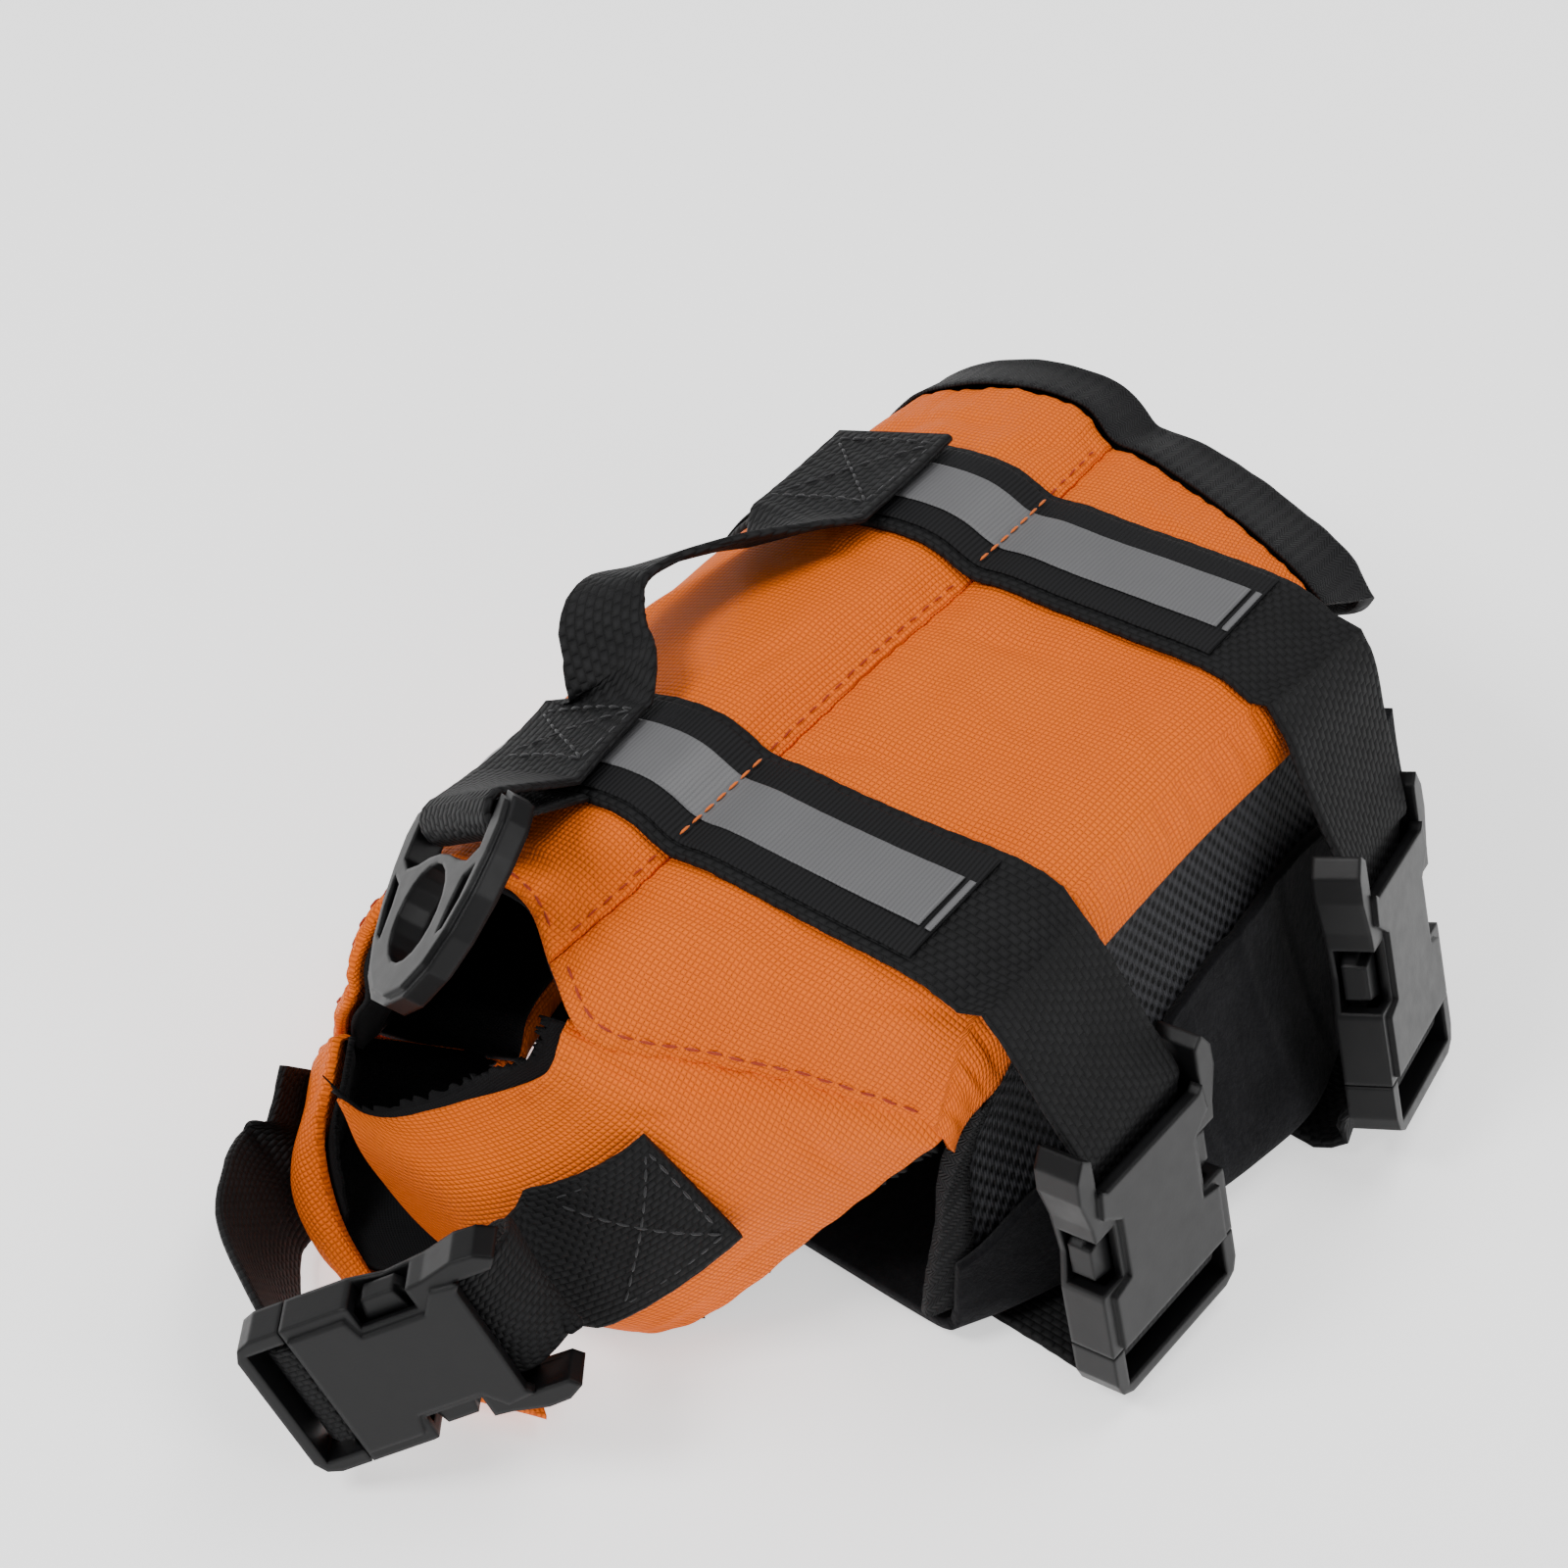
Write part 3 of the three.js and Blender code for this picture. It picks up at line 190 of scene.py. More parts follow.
SIDE_ROWS, SIDE_COLUMNS = [-21, -8, 20, 50, 66, 82, 103], [0, 0.25, 0.5, 0.75, 1]
SIDE_TABLE = [
    [[64.4, -12.4, 38.6], [64.6, -13.4, 30.5], [65.4, -15, 21], [66.6, -17, 12], [68, -19.2, 4.4]],
    [[65.4, -6, 48], [66.4, -7, 38], [68, -8, 27], [70.4, -8.7, 15], [73, -9.2, 4.4]],
    [[67, 20, 54.8], [68.8, 20, 44.5], [71.6, 20, 32], [77.4, 20, 17], [83.2, 20, 4.6]],
    [[67.2, 50, 56.8], [69.5, 50, 46], [73, 50, 33], [80, 50, 17], [87.5, 50, 4.6]],
    [[66.6, 66, 57], [68.8, 66, 46], [71.6, 66, 33], [76.4, 66, 17], [82.8, 66, 4.6]],
    [[65.8, 82, 56], [68.2, 82, 45], [70.8, 82, 32], [75, 82, 17], [79.6, 82, 5]],
    [[56.5, 102.5, 56.5], [61.5, 102, 46], [66.5, 100.5, 33], [72, 99, 18], [76.5, 97.5, 5.2]],
]


def side_face(along):
    full = smooth((along - FRONT) / 20)
    drop = 9.5 * lerp(0.28, 1, full)
    return back.points([FOLD_AT], [along])[0, 0] + np.array([0.51 * drop, 0, -0.86 * drop])


for row, along in zip(SIDE_TABLE, SIDE_ROWS):
    row[0] = list(side_face(along) + np.array([-1, 0, -1.4]))
side = Surface(SIDE_ROWS, SIDE_COLUMNS, SIDE_TABLE, (0.02, 0.5), turn=1)
side.turn = np.sign(side.normals([0.5], [20])[0, 0, 0])


def belly_row(along, start):
    def on_side(a):
        return list(side.at(a, along, SEAM_GAP + BELLY_THICK))

    corner = on_side(1)
    top = lerp(0.7, 0.42, smooth((along + 21) / 75))

    def flat(x):
        return [x, corner[1], FLOOR_GAP]

    return [
        flat(start), flat(lerp(start, corner[0], 0.3)), flat(lerp(start, corner[0], 0.6)), flat(corner[0] - 9),
        [corner[0] - 1.6, corner[1], FLOOR_GAP + 0.9], on_side(0.97), on_side(lerp(0.97, top, 0.33)),
        on_side(lerp(0.97, top, 0.67)), on_side(top),
    ]


BELLY_STARTS = [(-21, -14.5), (-8, -17.5), (8, -19.4), (20, -20.6), (36, -22), (50, -22), (65, -22), (80, -21.6),
                (90, -21.2), (103, -21)]
BELLY_TABLE = [belly_row(a, s) for a, s in BELLY_STARTS]
belly = Surface([a for a, _ in BELLY_STARTS], list(range(9)), BELLY_TABLE, (0.05, 0.5))
belly.turn = np.sign(-belly.normals([2], [20])[0, 0, 2])


# Waves of several directions and lengths, as uneven as cloth
def ripple(u, v, size, seed, count=7):
    r = np.random.default_rng(seed)
    total = np.zeros(np.broadcast(u, v).shape)
    for _ in range(count):
        angle, scale, phase = r.uniform(0, math.tau), r.uniform(0.6, 1.7), r.uniform(0, math.tau)
        total = total + np.sin((u * math.cos(angle) + v * math.sin(angle)) * math.tau / (size * scale) + phase)
    return total / math.sqrt(count)


# Creases given in a table: middle, angle in degrees, half length, half width and height, all in the surface's units
def creases(table, u, v):
    total = np.zeros(np.broadcast(u, v).shape)
    for cu, cv, angle, length, width, height in table:
        c, s = math.cos(math.radians(angle)), math.sin(math.radians(angle))
        x = (u - cu) * c + (v - cv) * s
        y = -(u - cu) * s + (v - cv) * c + 0.12 * x * np.sin(x / max(length, 1e-6) * 2.2)
        total = total + height * np.exp(-((x / length) ** 2) - (y / width) ** 2)
    return total


def samples(low, high, count, rim):
    near = rim * np.array([0, 0.04, 0.15, 0.35, 0.65])
    return np.concatenate([low + near, np.linspace(low + rim, high - rim, count), (high - near)[::-1]])


# How full the edge is at each sample: nought at the rim, one beyond it, round in between
def roundness(xs, rim):
    d = np.minimum(xs - xs[0], xs[-1] - xs) / rim
    return np.sqrt(np.clip(1 - (1 - np.clip(d, 0, 1)) ** 2, 0, 1))


def make_object(name, verts, faces, uvs, material, body="root", replaced=()):
    mesh = bpy.data.meshes.new(name)
    mesh.from_pydata([tuple(p) for p in np.asarray(verts) * MM], [], faces)
    mesh.update()
    if uvs is not None:
        layer = mesh.uv_layers.new(name="cloth")
        loops = np.zeros(len(mesh.loops), dtype=np.int32)
        mesh.loops.foreach_get("vertex_index", loops)
        layer.data.foreach_set("uv", np.asarray(uvs, dtype=np.float32)[loops].ravel())
    mesh.polygons.foreach_set("use_smooth", [True] * len(mesh.polygons))
    obj = bpy.data.objects.new(name, mesh)
    bpy.context.collection.objects.link(obj)
    mesh.materials.append(material)
    if replaced:
        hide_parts(*replaced)
    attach(obj, body)
    return obj


# Closed form from an outer and an inner grid that meet at their rims
def closed(name, outer, inner, material, full=None, body="root", replaced=(), floor=None):
    outer, inner = np.array(outer), np.array(inner)
    if full is not None:
        middle = (outer + inner) / 2
        outer = middle + (outer - middle) * full[..., None]
        inner = middle + (inner - middle) * full[..., None]
    if floor is not None:
        outer[..., 2] = np.maximum(outer[..., 2], floor)
        inner[..., 2] = np.maximum(inner[..., 2], floor)
    n, m, _ = outer.shape
    across = np.linalg.norm(np.diff(outer, axis=1), axis=2)
    u = np.concatenate([np.zeros((n, 1)), np.cumsum(across, axis=1)], axis=1)
    u -= u[:, [m // 2]]
    down = np.linalg.norm(np.diff(outer, axis=0), axis=2)
    v = np.concatenate([np.zeros((1, m)), np.cumsum(down, axis=0)], axis=0)
    v -= v[[n // 2], :]
    uv = np.stack([u, v], axis=2).reshape(-1, 2)
    index = np.arange(n * m).reshape(n, m)
    other = index + n * m
    faces = []
    for i in range(n - 1):
        for j in range(m - 1):
            faces.append((index[i, j], index[i, j + 1], index[i + 1, j + 1], index[i + 1, j]))
            faces.append((other[i, j], other[i + 1, j], other[i + 1, j + 1], other[i, j + 1]))
    rim = [(index[0, j], index[0, j + 1]) for j in range(m - 1)]
    rim += [(index[i, m - 1], index[i + 1, m - 1]) for i in range(n - 1)]
    rim += [(index[n - 1, j + 1], index[n - 1, j]) for j in reversed(range(m - 1))]
    rim += [(index[i + 1, 0], index[i, 0]) for i in reversed(range(n - 1))]
    faces += [(b, a, a + n * m, b + n * m) for a, b in rim]
    verts = np.concatenate([outer.reshape(-1, 3), inner.reshape(-1, 3)])
    faces = [tuple(int(q) for q in f) for f in faces]
    obj = make_object(name, verts, faces, np.concatenate([uv, uv]), material, body, replaced)
    flip_if_inside_out(obj)
    return obj


def flip_if_inside_out(obj):
    mesh = obj.data
    mesh.calc_loop_triangles()
    co = np.zeros(len(mesh.vertices) * 3)
    mesh.vertices.foreach_get("co", co)
    co = co.reshape(-1, 3)
    tri = np.zeros(len(mesh.loop_triangles) * 3, dtype=np.int32)
    mesh.loop_triangles.foreach_get("vertices", tri)
    a, b, c = (co[tri.reshape(-1, 3)[:, k]] for k in range(3))
    if np.einsum("ij,ij->i", a, np.cross(b, c)).sum() < 0:
        mesh.flip_normals()


# Materials: small expressions of shader nodes
class Nodes:
    def __init__(self, name):
        self.material = bpy.data.materials.new(name)
        self.material.use_nodes = True
        self.tree = self.material.node_tree
        self.shader = self.tree.nodes["Principled BSDF"]
        self.output = self.tree.nodes["Material Output"]

    def link(self, a, b):
        self.tree.links.new(a, b)

    def math(self, kind, a, b=None, c=None):
        node = self.tree.nodes.new("ShaderNodeMath")
        node.operation = kind
        for i, value in enumerate([a, b, c]):
            if value is None:
                continue
            if isinstance(value, (int, float)):
                node.inputs[i].default_value = value
            else:
                self.link(value, node.inputs[i])
        return node.outputs[0]

    def uv(self):
        node = self.tree.nodes.new("ShaderNodeUVMap")
        split = self.tree.nodes.new("ShaderNodeSeparateXYZ")
        self.link(node.outputs[0], split.inputs[0])
        return split.outputs[0], split.outputs[1]

    def noise(self, scale, detail=3.0, rough=0.55, coords="Object"):
        co = self.tree.nodes.new("ShaderNodeTexCoord")
        node = self.tree.nodes.new("ShaderNodeTexNoise")
        node.inputs["Scale"].default_value = scale
        node.inputs["Detail"].default_value = detail
        node.inputs["Roughness"].default_value = rough
        self.link(co.outputs[coords], node.inputs["Vector"])
        return node.outputs["Fac"]

    def mix(self, fac, a, b):
        node = self.tree.nodes.new("ShaderNodeMix")
        node.data_type = "RGBA"
        for socket, value in ((node.inputs[0], fac), (node.inputs[6], a), (node.inputs[7], b)):
            if isinstance(value, (int, float)):
                socket.default_value = value
            elif isinstance(value, tuple):
                socket.default_value = (*value, 1)
            else:
                self.link(value, socket)
        return node.outputs[2]

    def bump(self, height, distance, strength=1.0, normal=None):
        node = self.tree.nodes.new("ShaderNodeBump")
        node.inputs["Strength"].default_value = strength
        node.inputs["Distance"].default_value = distance * MM
        self.link(height, node.inputs["Height"])
        if normal is not None:
            self.link(normal, node.inputs["Normal"])
        return node.outputs[0]

    def bevel(self, radius):
        node = self.tree.nodes.new("ShaderNodeBevel")
        node.samples = 6
        node.inputs["Radius"].default_value = radius * MM
        return node.outputs[0]

    def finish(self, colour, rough, normal=None, sheen=0.0, specular=0.5):
        for socket, value in (("Base Color", colour), ("Roughness", rough)):
            if isinstance(value, tuple):
                self.shader.inputs[socket].default_value = (*value, 1)
            elif isinstance(value, (int, float)):
                self.shader.inputs[socket].default_value = value
            else:
                self.link(value, self.shader.inputs[socket])
        if normal is not None:
            self.link(normal, self.shader.inputs["Normal"])
        self.shader.inputs["Sheen Weight"].default_value = sheen
        self.shader.inputs["Sheen Roughness"].default_value = 0.4
        self.shader.inputs["Specular IOR Level"].default_value = specular
        return self.material


# Threads over and under: height of a weave with the given pitch across and along, each row set off from the last
def weave_height(n, across, along, pitch_u, pitch_v):
    a = n.math("MULTIPLY", across, math.pi / pitch_u)
    b = n.math("MULTIPLY", along, math.pi / pitch_v)
    over = n.math("MULTIPLY", n.math("SINE", a), n.math("SINE", b))
    return n.math("ABSOLUTE", over), over


def oxford(name, thread, shade, light):
    n = Nodes(name)
    u, v = n.uv()
    drift = n.math("MULTIPLY", n.math("SUBTRACT", n.noise(90), 0.5), 0.5)
    ripe, over = weave_height(n, n.math("ADD", u, drift), n.math("ADD", v, drift), 0.85, 0.85)
    worn = n.noise(28, 4)
    fibre = n.noise(2600, 2)
    base = n.mix(worn, shade, light)
    gap = n.math("POWER", n.math("SUBTRACT", 1.0, ripe), 3.0)
    colour = n.mix(n.math("MULTIPLY", gap, 0.55), base, thread)
    tone = n.mix(n.math("MULTIPLY", n.math("GREATER_THAN", over, 0.0), 0.22), colour, shade)
    height = n.math("ADD", n.math("POWER", ripe, 0.6), n.math("MULTIPLY", fibre, 0.25))
    normal = n.bump(height, 0.26, 1.0)
    return n.finish(tone, 0.66, normal, sheen=0.0, specular=0.22)


def webbing(name, pitch_u, pitch_v, depth, light=(0.011, 0.011, 0.012)):
    colour, rough = (0.0025, 0.0025, 0.0027), 0.7
    n = Nodes(name)
    u, v = n.uv()
    row = n.math("FLOOR", n.math("DIVIDE", u, pitch_u))
    stagger = n.math("MULTIPLY", n.math("MODULO", n.math("ABSOLUTE", row), 2.0), pitch_v * 0.5)
    column = n.math("ABSOLUTE", n.math("SINE", n.math("MULTIPLY", u, math.pi / pitch_u)))
    knot = n.math("ABSOLUTE", n.math("SINE", n.math("MULTIPLY", n.math("ADD", v, stagger), math.pi / pitch_v)))
    fibre = n.noise(1900, 3)
    woven = n.math("MULTIPLY", n.math("POWER", column, 0.5), n.math("POWER", knot, 0.6))
    height = n.math("ADD", woven, n.math("MULTIPLY", fibre, 0.3))
    tone = n.mix(n.math("MULTIPLY", height, n.noise(160, 3)), colour, light)
    return n.finish(tone, rough, n.bump(height, depth, 0.9), sheen=0.0, specular=0.2)


def lining(name):
    n = Nodes(name)
    u, v = n.uv()
    ripe, _ = weave_height(n, u, v, 0.45, 0.45)
    height = n.math("ADD", ripe, n.math("MULTIPLY", n.noise(260, 3), 0.8))
    tone = n.mix(n.noise(40, 3), (0.003, 0.003, 0.0035), (0.007, 0.007, 0.008))
    return n.finish(tone, 0.75, n.bump(height, 0.12, 0.7), sheen=0.0, specular=0.18)


def ribbon(name):
    n = Nodes(name)
    _, v = n.uv()
    rib = n.math("ABSOLUTE", n.math("SINE", n.math("MULTIPLY", v, math.pi / 0.8)))
    height = n.math("ADD", rib, n.math("MULTIPLY", n.noise(1500, 3), 0.4))
    tone = n.mix(rib, (0.002, 0.002, 0.0022), (0.008, 0.008, 0.009))
    return n.finish(tone, 0.7, n.bump(height, 0.12, 0.8), sheen=0.0, specular=0.2)


def reflective(name):
    n = Nodes(name)
    _, v = n.uv()
    lines = n.math("ADD", n.math("MULTIPLY", v, math.pi / 0.7), n.math("MULTIPLY", n.noise(120, 2), 3.0))
    brushed = n.math("ABSOLUTE", n.math("SINE", lines))
    patchy = n.math("MULTIPLY", n.math("ADD", brushed, n.noise(60, 3)), 0.5)
    tone = n.mix(patchy, (0.085, 0.085, 0.088), (0.135, 0.135, 0.14))
    return n.finish(tone, 0.45, n.bump(brushed, 0.05, 0.5), specular=0.35)


def fuzzy(name):
    n = Nodes(name)
    curl = n.noise(900, 6, 0.7)
    wide = n.noise(120, 4)
    tone = n.mix(n.math("MULTIPLY", curl, wide), (0.003, 0.003, 0.0035), (0.034, 0.034, 0.038))
    height = n.math("ADD", curl, n.math("MULTIPLY", wide, 0.5))
    return n.finish(tone, 0.9, n.bump(height, 0.5, 1.0), sheen=0.05, specular=0.08)


# Knitted mesh: diamond holes in offset rows
def diamond_mesh(name):
    n = Nodes(name)
    u, v = n.uv()
    pu, pv = 3.1, 2.3
    a = n.math("DIVIDE", u, pu)
    b = n.math("DIVIDE", v, pv)
    p = n.math("COSINE", n.math("MULTIPLY", n.math("ADD", a, b), math.tau))
    q = n.math("COSINE", n.math("MULTIPLY", n.math("SUBTRACT", a, b), math.tau))
    field = n.math("MULTIPLY", n.math("ADD", n.math("ADD", p, q), 2.0), 0.25)
    hole = n.math("GREATER_THAN", field, 0.66)
    ribs = n.math("ABSOLUTE", n.math("SINE", n.math("MULTIPLY", v, math.pi / 0.55)))
    height = n.math("ADD", n.math("SUBTRACT", 1.0, field), n.math("MULTIPLY", ribs, 0.2))
    tone = n.mix(field, (0.04, 0.04, 0.045), (0.004, 0.004, 0.005))
    tone = n.mix(hole, tone, (0.0005, 0.0005, 0.0008))
    return n.finish(tone, 0.65, n.bump(height, 0.5, 1.0), sheen=0.0, specular=0.22)


def herringbone(name):
    n = Nodes(name)
    u, v = n.uv()
    fold = n.math("PINGPONG", u, 1.3)
    slope = n.math("ADD", v, fold)
    rib = n.math("ABSOLUTE", n.math("SINE", n.math("MULTIPLY", slope, math.pi / 0.75)))
    tone = n.mix(rib, (0.003, 0.003, 0.0035), (0.013, 0.013, 0.014))
    return n.finish(tone, 0.68, n.bump(rib, 0.2, 0.9), sheen=0.0, specular=0.2)


def moulded(name):
    n = Nodes(name)
    grain = n.noise(2200, 3)
    wide = n.noise(60, 3)
    tone = n.mix(wide, (0.0025, 0.0025, 0.0028), (0.0055, 0.0055, 0.006))
    rough = n.math("ADD", 0.3, n.math("MULTIPLY", n.noise(350, 4), 0.16))
    return n.finish(tone, rough, n.bump(grain, 0.02, 0.5, n.bevel(0.9)), specular=0.2)


def thread_look(name, colour):
    n = Nodes(name)
    tone = n.mix(n.noise(1200, 3), tuple(0.7 * c for c in colour), colour)
    return n.finish(tone, 0.6, n.bump(n.noise(4000, 2), 0.05, 0.6), sheen=0.2, specular=0.35)


ORANGE = oxford("oxford orange", (0.42, 0.05, 0.0), (0.86, 0.135, 0.0), (0.95, 0.185, 0.0))
BLACK_LINING = lining("black lining")
BAND_WEAVE = webbing("band webbing", 1.25, 1.9, 0.3)
HANDLE_WEAVE = webbing("handle webbing", 1.5, 2.4, 0.45, light=(0.015, 0.015, 0.016))
NECK_WEAVE = webbing("neck webbing", 1.0, 1.7, 0.35)
RIBBON_BLACK = ribbon("ribbed ribbon")
REFLECTIVE = reflective("reflective tape")
FUZZY = fuzzy("loop fabric")
MESH_LOOK = diamond_mesh("knitted mesh")
TAPE_LOOK = herringbone("herringbone tape")
PLASTIC = moulded("moulded plastic")
THREAD = thread_look("orange thread", (0.8, 0.16, 0.01))


# Back: outer and inner lift, as in the solids, with a roll of foam and shallow puckers
def seam_distance(s):
    return np.minimum(np.abs(s - SPINE_HALF), np.abs(s + SPINE_HALF))


def pinch(s):
    return -SEAM_PINCH * np.exp(-(seam_distance(s) / SEAM_SPREAD) ** 2)


def foam_thickness(s, v):
    from_ends = smooth(np.minimum(v - FRONT, REAR - v) / 12)
    full = lerp(SEAM_THICK, FOAM_THICK, np.minimum(smooth(seam_distance(s) / 9), from_ends))
    crease = np.exp(-(((s + 62) / 13) ** 2))
    return lerp(full, np.minimum(full, CREASE_THICK), crease)


# creases on the back: (across, along, angle, half length, half width, height) in millimetres
BACK_CREASES = [
    (-22, 18, 78, 15, 2.6, -0.7), (-14, 34, 64, 12, 2.2, 0.5), (-27, 48, 98, 11, 2.0, -0.6), (22, 30, 70, 12, 2.2, -0.55),
    (28, 14, 118, 9, 1.8, 0.4), (14, 54, 12, 12, 2.4, -0.35), (-12, 60, 170, 10, 2.2, 0.35), (24, 94, 60, 8, 1.8, -0.5),
    (-6, -20, 15, 13, 2.2, -0.6), (9, -28, 170, 12, 1.8, 0.55), (-18, -24, 28, 9, 1.6, -0.5), (2, 95, 10, 16, 2.2, -0.5),
    (44, 20, 20, 12, 2.2, -0.7), (58, 34, 165, 14, 2.4, 0.5), (70, 14, 24, 10, 2.0, -0.55), (50, 52, 8, 12, 2.2, -0.6),
    (76, 44, 150, 12, 2.0, 0.5), (62, 62, 172, 10, 1.8, -0.45), (46, -18, 12, 12, 2.2, -0.8), (66, -24, 165, 12, 2.0, 0.6),
    (82, -20, 20, 8, 1.6, -0.5), (54, 92, 168, 12, 2.0, -0.6), (74, 96, 14, 10, 1.8, -0.5), (40, -28, 8, 7, 1.6, 0.5),
    (-46, 22, 85, 12, 2.0, -0.5), (-54, 44, 70, 14, 2.2, 0.5), (-72, 30, 95, 16, 2.6, -0.5), (-50, 60, 100, 10, 1.8, -0.45),
    (-84, 52, 80, 14, 2.2, 0.4), (-44, -16, 60, 10, 1.8, -0.55), (-58, 94, 20, 12, 2.0, -0.5),
]


# puckers along the sewn edges: quick waves that die away from the seam
def seam_puckers(s, v):
    near = np.exp(-np.minimum(np.abs(np.abs(s) - SPINE_HALF), 30) / 4.2)
    wave = np.sin(v * 1.32 + 0.7 * np.sin(v * 0.31) + np.sign(s) * 1.3) + 0.6 * np.sin(v * 2.05 + 1.7)
    ends = np.exp(-np.minimum(v - FRONT, REAR - v) / 5.0)
    across = np.sin(s * 1.18 + 0.9 * np.sin(s * 0.23)) + 0.5 * np.sin(s * 2.3 + 0.6)
    return 0.16 * near * wave + 0.15 * ends * across


def back_outer(s, v):
    swell = 0.45 * smooth(seam_distance(s) / 16) * smooth(np.minimum(v - FRONT, REAR - v) / 16)
    pressed = np.exp(-((v / 14) ** 4)) + np.exp(-(((v - BAND_SPACING) / 14) ** 4))
    free = 1 - 0.9 * np.clip(pressed, 0, 1)
    relief = 1.35 * creases(BACK_CREASES, s, v) + 0.2 * ripple(s, v, 17, 3) + 1.3 * seam_puckers(s, v)
    return pinch(s) + (swell + relief) * free


def grid(onto, across, along, lift):
    s, v = np.meshgrid(across, along)
    return onto.points(across, along) + onto.normals(across, along) * lift(s, v)[..., None]


ALONG = np.concatenate([
    FRONT + np.array([-0.7, -0.4, 0.2, 1.2, 2.2]), np.linspace(-35, 104.5, 168), REAR - np.array([1.8, 1, 0.4, 0]),
])


def foam_section(name, low, high, count, node):
    across = samples(low, high, count, 2.6)
    outer = grid(back, across, ALONG, back_outer)
    inner = grid(back, across, ALONG, lambda s, v: pinch(s) - foam_thickness(s, v))
    full = roundness(across, 2.6)[None, :] * roundness(ALONG, 2.2)[:, None]
    full = 0.35 + 0.65 * full
    return closed(name, outer, inner, ORANGE, full, replaced=(node,), floor=FLOOR_GAP - 0.4)


spine = foam_section("foam_spine", -SPINE_HALF + 0.1, SPINE_HALF - 0.1, 92, "back_spine")
right_section = foam_section("foam_right", RIGHT_EDGE_AT + 0.1, -SPINE_HALF - 0.1, 80, "back_right")


# Left section with its slanted side: the face between the fold and the edge seam, in the same orange as the top
def left_foam():
    top = samples(SPINE_HALF + 0.1, FOLD_AT, 74, 2.4)[:-4]
    outer_top = grid(back, top, ALONG, back_outer)
    edge = np.array([side_face(v) for v in ALONG])
    fold = outer_top[:, -1]
    count = 12
    face = []
    for k in range(1, count + 1):
        t = k / count
        pucker = 0.28 * np.sin(ALONG * 1.15 + 1.3 * np.sin(ALONG * 0.21)) * math.sin(math.pi * t)
        pucker = pucker + 0.25 * np.sin(ALONG * 2.1) * (1 - t)
        bulge = 0.9 * math.sin(math.pi * min(t, 1))
        proud = np.stack([0.75 * (bulge + pucker), 0 * pucker, 0.5 * (bulge + pucker)], axis=1)
        face.append(fold + (edge - fold) * t + proud)
    outer = np.concatenate([outer_top, np.stack(face, axis=1)], axis=1)
    inner_top = grid(back, top, ALONG, lambda s, v: pinch(s) - foam_thickness(s, v))
    last = inner_top[:, -1]
    inner_face = [last + (edge + np.array([-1.2, 0, -0.3]) - last) * (k / count) for k in range(1, count + 1)]
    inner = np.concatenate([inner_top, np.stack(inner_face, axis=1)], axis=1)
    across = np.concatenate([top, FOLD_AT + np.arange(1, count + 1) * 0.8])
    full = 0.35 + 0.65 * roundness(across, 2.4)[None, :] * roundness(ALONG, 2.2)[:, None]
    full[:, -5:] = 1
    return closed("foam_left", outer, inner, ORANGE, full, replaced=("back_left",))


left_section = left_foam()


# Lining: one skin inside the three sections
def lining_back():
    across = np.linspace(RIGHT_EDGE_AT + 0.6, 86.5, 150)
    along = np.linspace(FRONT - 0.5, REAR, 110)

    def skin(extra):
        def lift(s, v):
            at_crease = 0.8 * np.exp(-(((s + 62) / 10) ** 2))
            clamped = np.clip(v, FRONT, REAR)
            under_foam = pinch(s) - foam_thickness(s, clamped) - LINING_GAP
            return under_foam - at_crease - extra + 0.22 * ripple(s, v, 15, 11)
        return lift

    outer = grid(back, across, along, skin(0))
    inner = grid(back, across, along, skin(LINING_THICK))
    return closed("lining_skin", outer, inner, BLACK_LINING, replaced=("lining_back",))


lining_skin = lining_back()


# Wings
def edge_round(a, b):
    return smooth(np.minimum(np.minimum(a, 1 - a), np.minimum(b, 1 - b)) / 0.16)


def wing_thickness(a, b):
    return lerp(SEAM_THICK - 0.6, WING_THICK * lerp(1, 0.55, smooth((b - 0.5) / 0.4)), edge_round(a, b))


# wing creases: (across, along, angle, half length, half width, height)
# places and sizes are in shares of the wing, heights in millimetres
LEFT_WING_CREASES = [
    (0.2, 0.14, 20, 0.14, 0.03, -0.7), (0.5, 0.1, 165, 0.16, 0.028, 0.6), (0.78, 0.16, 25, 0.13, 0.03, -0.7),
    (0.62, 0.24, 100, 0.1, 0.03, 0.5), (0.14, 0.42, 70, 0.12, 0.025, -0.5), (0.88, 0.5, 100, 0.13, 0.022, -0.5),
    (0.34, 0.26, 150, 0.1, 0.025, -0.45), (0.9, 0.78, 80, 0.1, 0.02, 0.4), (0.12, 0.8, 95, 0.1, 0.02, -0.4),
    (0.5, 0.93, 10, 0.18, 0.02, -0.4),
]
RIGHT_WING_CREASES = [
    (0.3, 0.1, 15, 0.15, 0.03, -0.6), (0.7, 0.18, 160, 0.14, 0.028, 0.5), (0.12, 0.4, 80, 0.14, 0.024, -0.5),
    (0.5, 0.7, 30, 0.14, 0.026, 0.45), (0.84, 0.62, 110, 0.12, 0.024, -0.5), (0.4, 0.88, 5, 0.16, 0.02, -0.4),
]


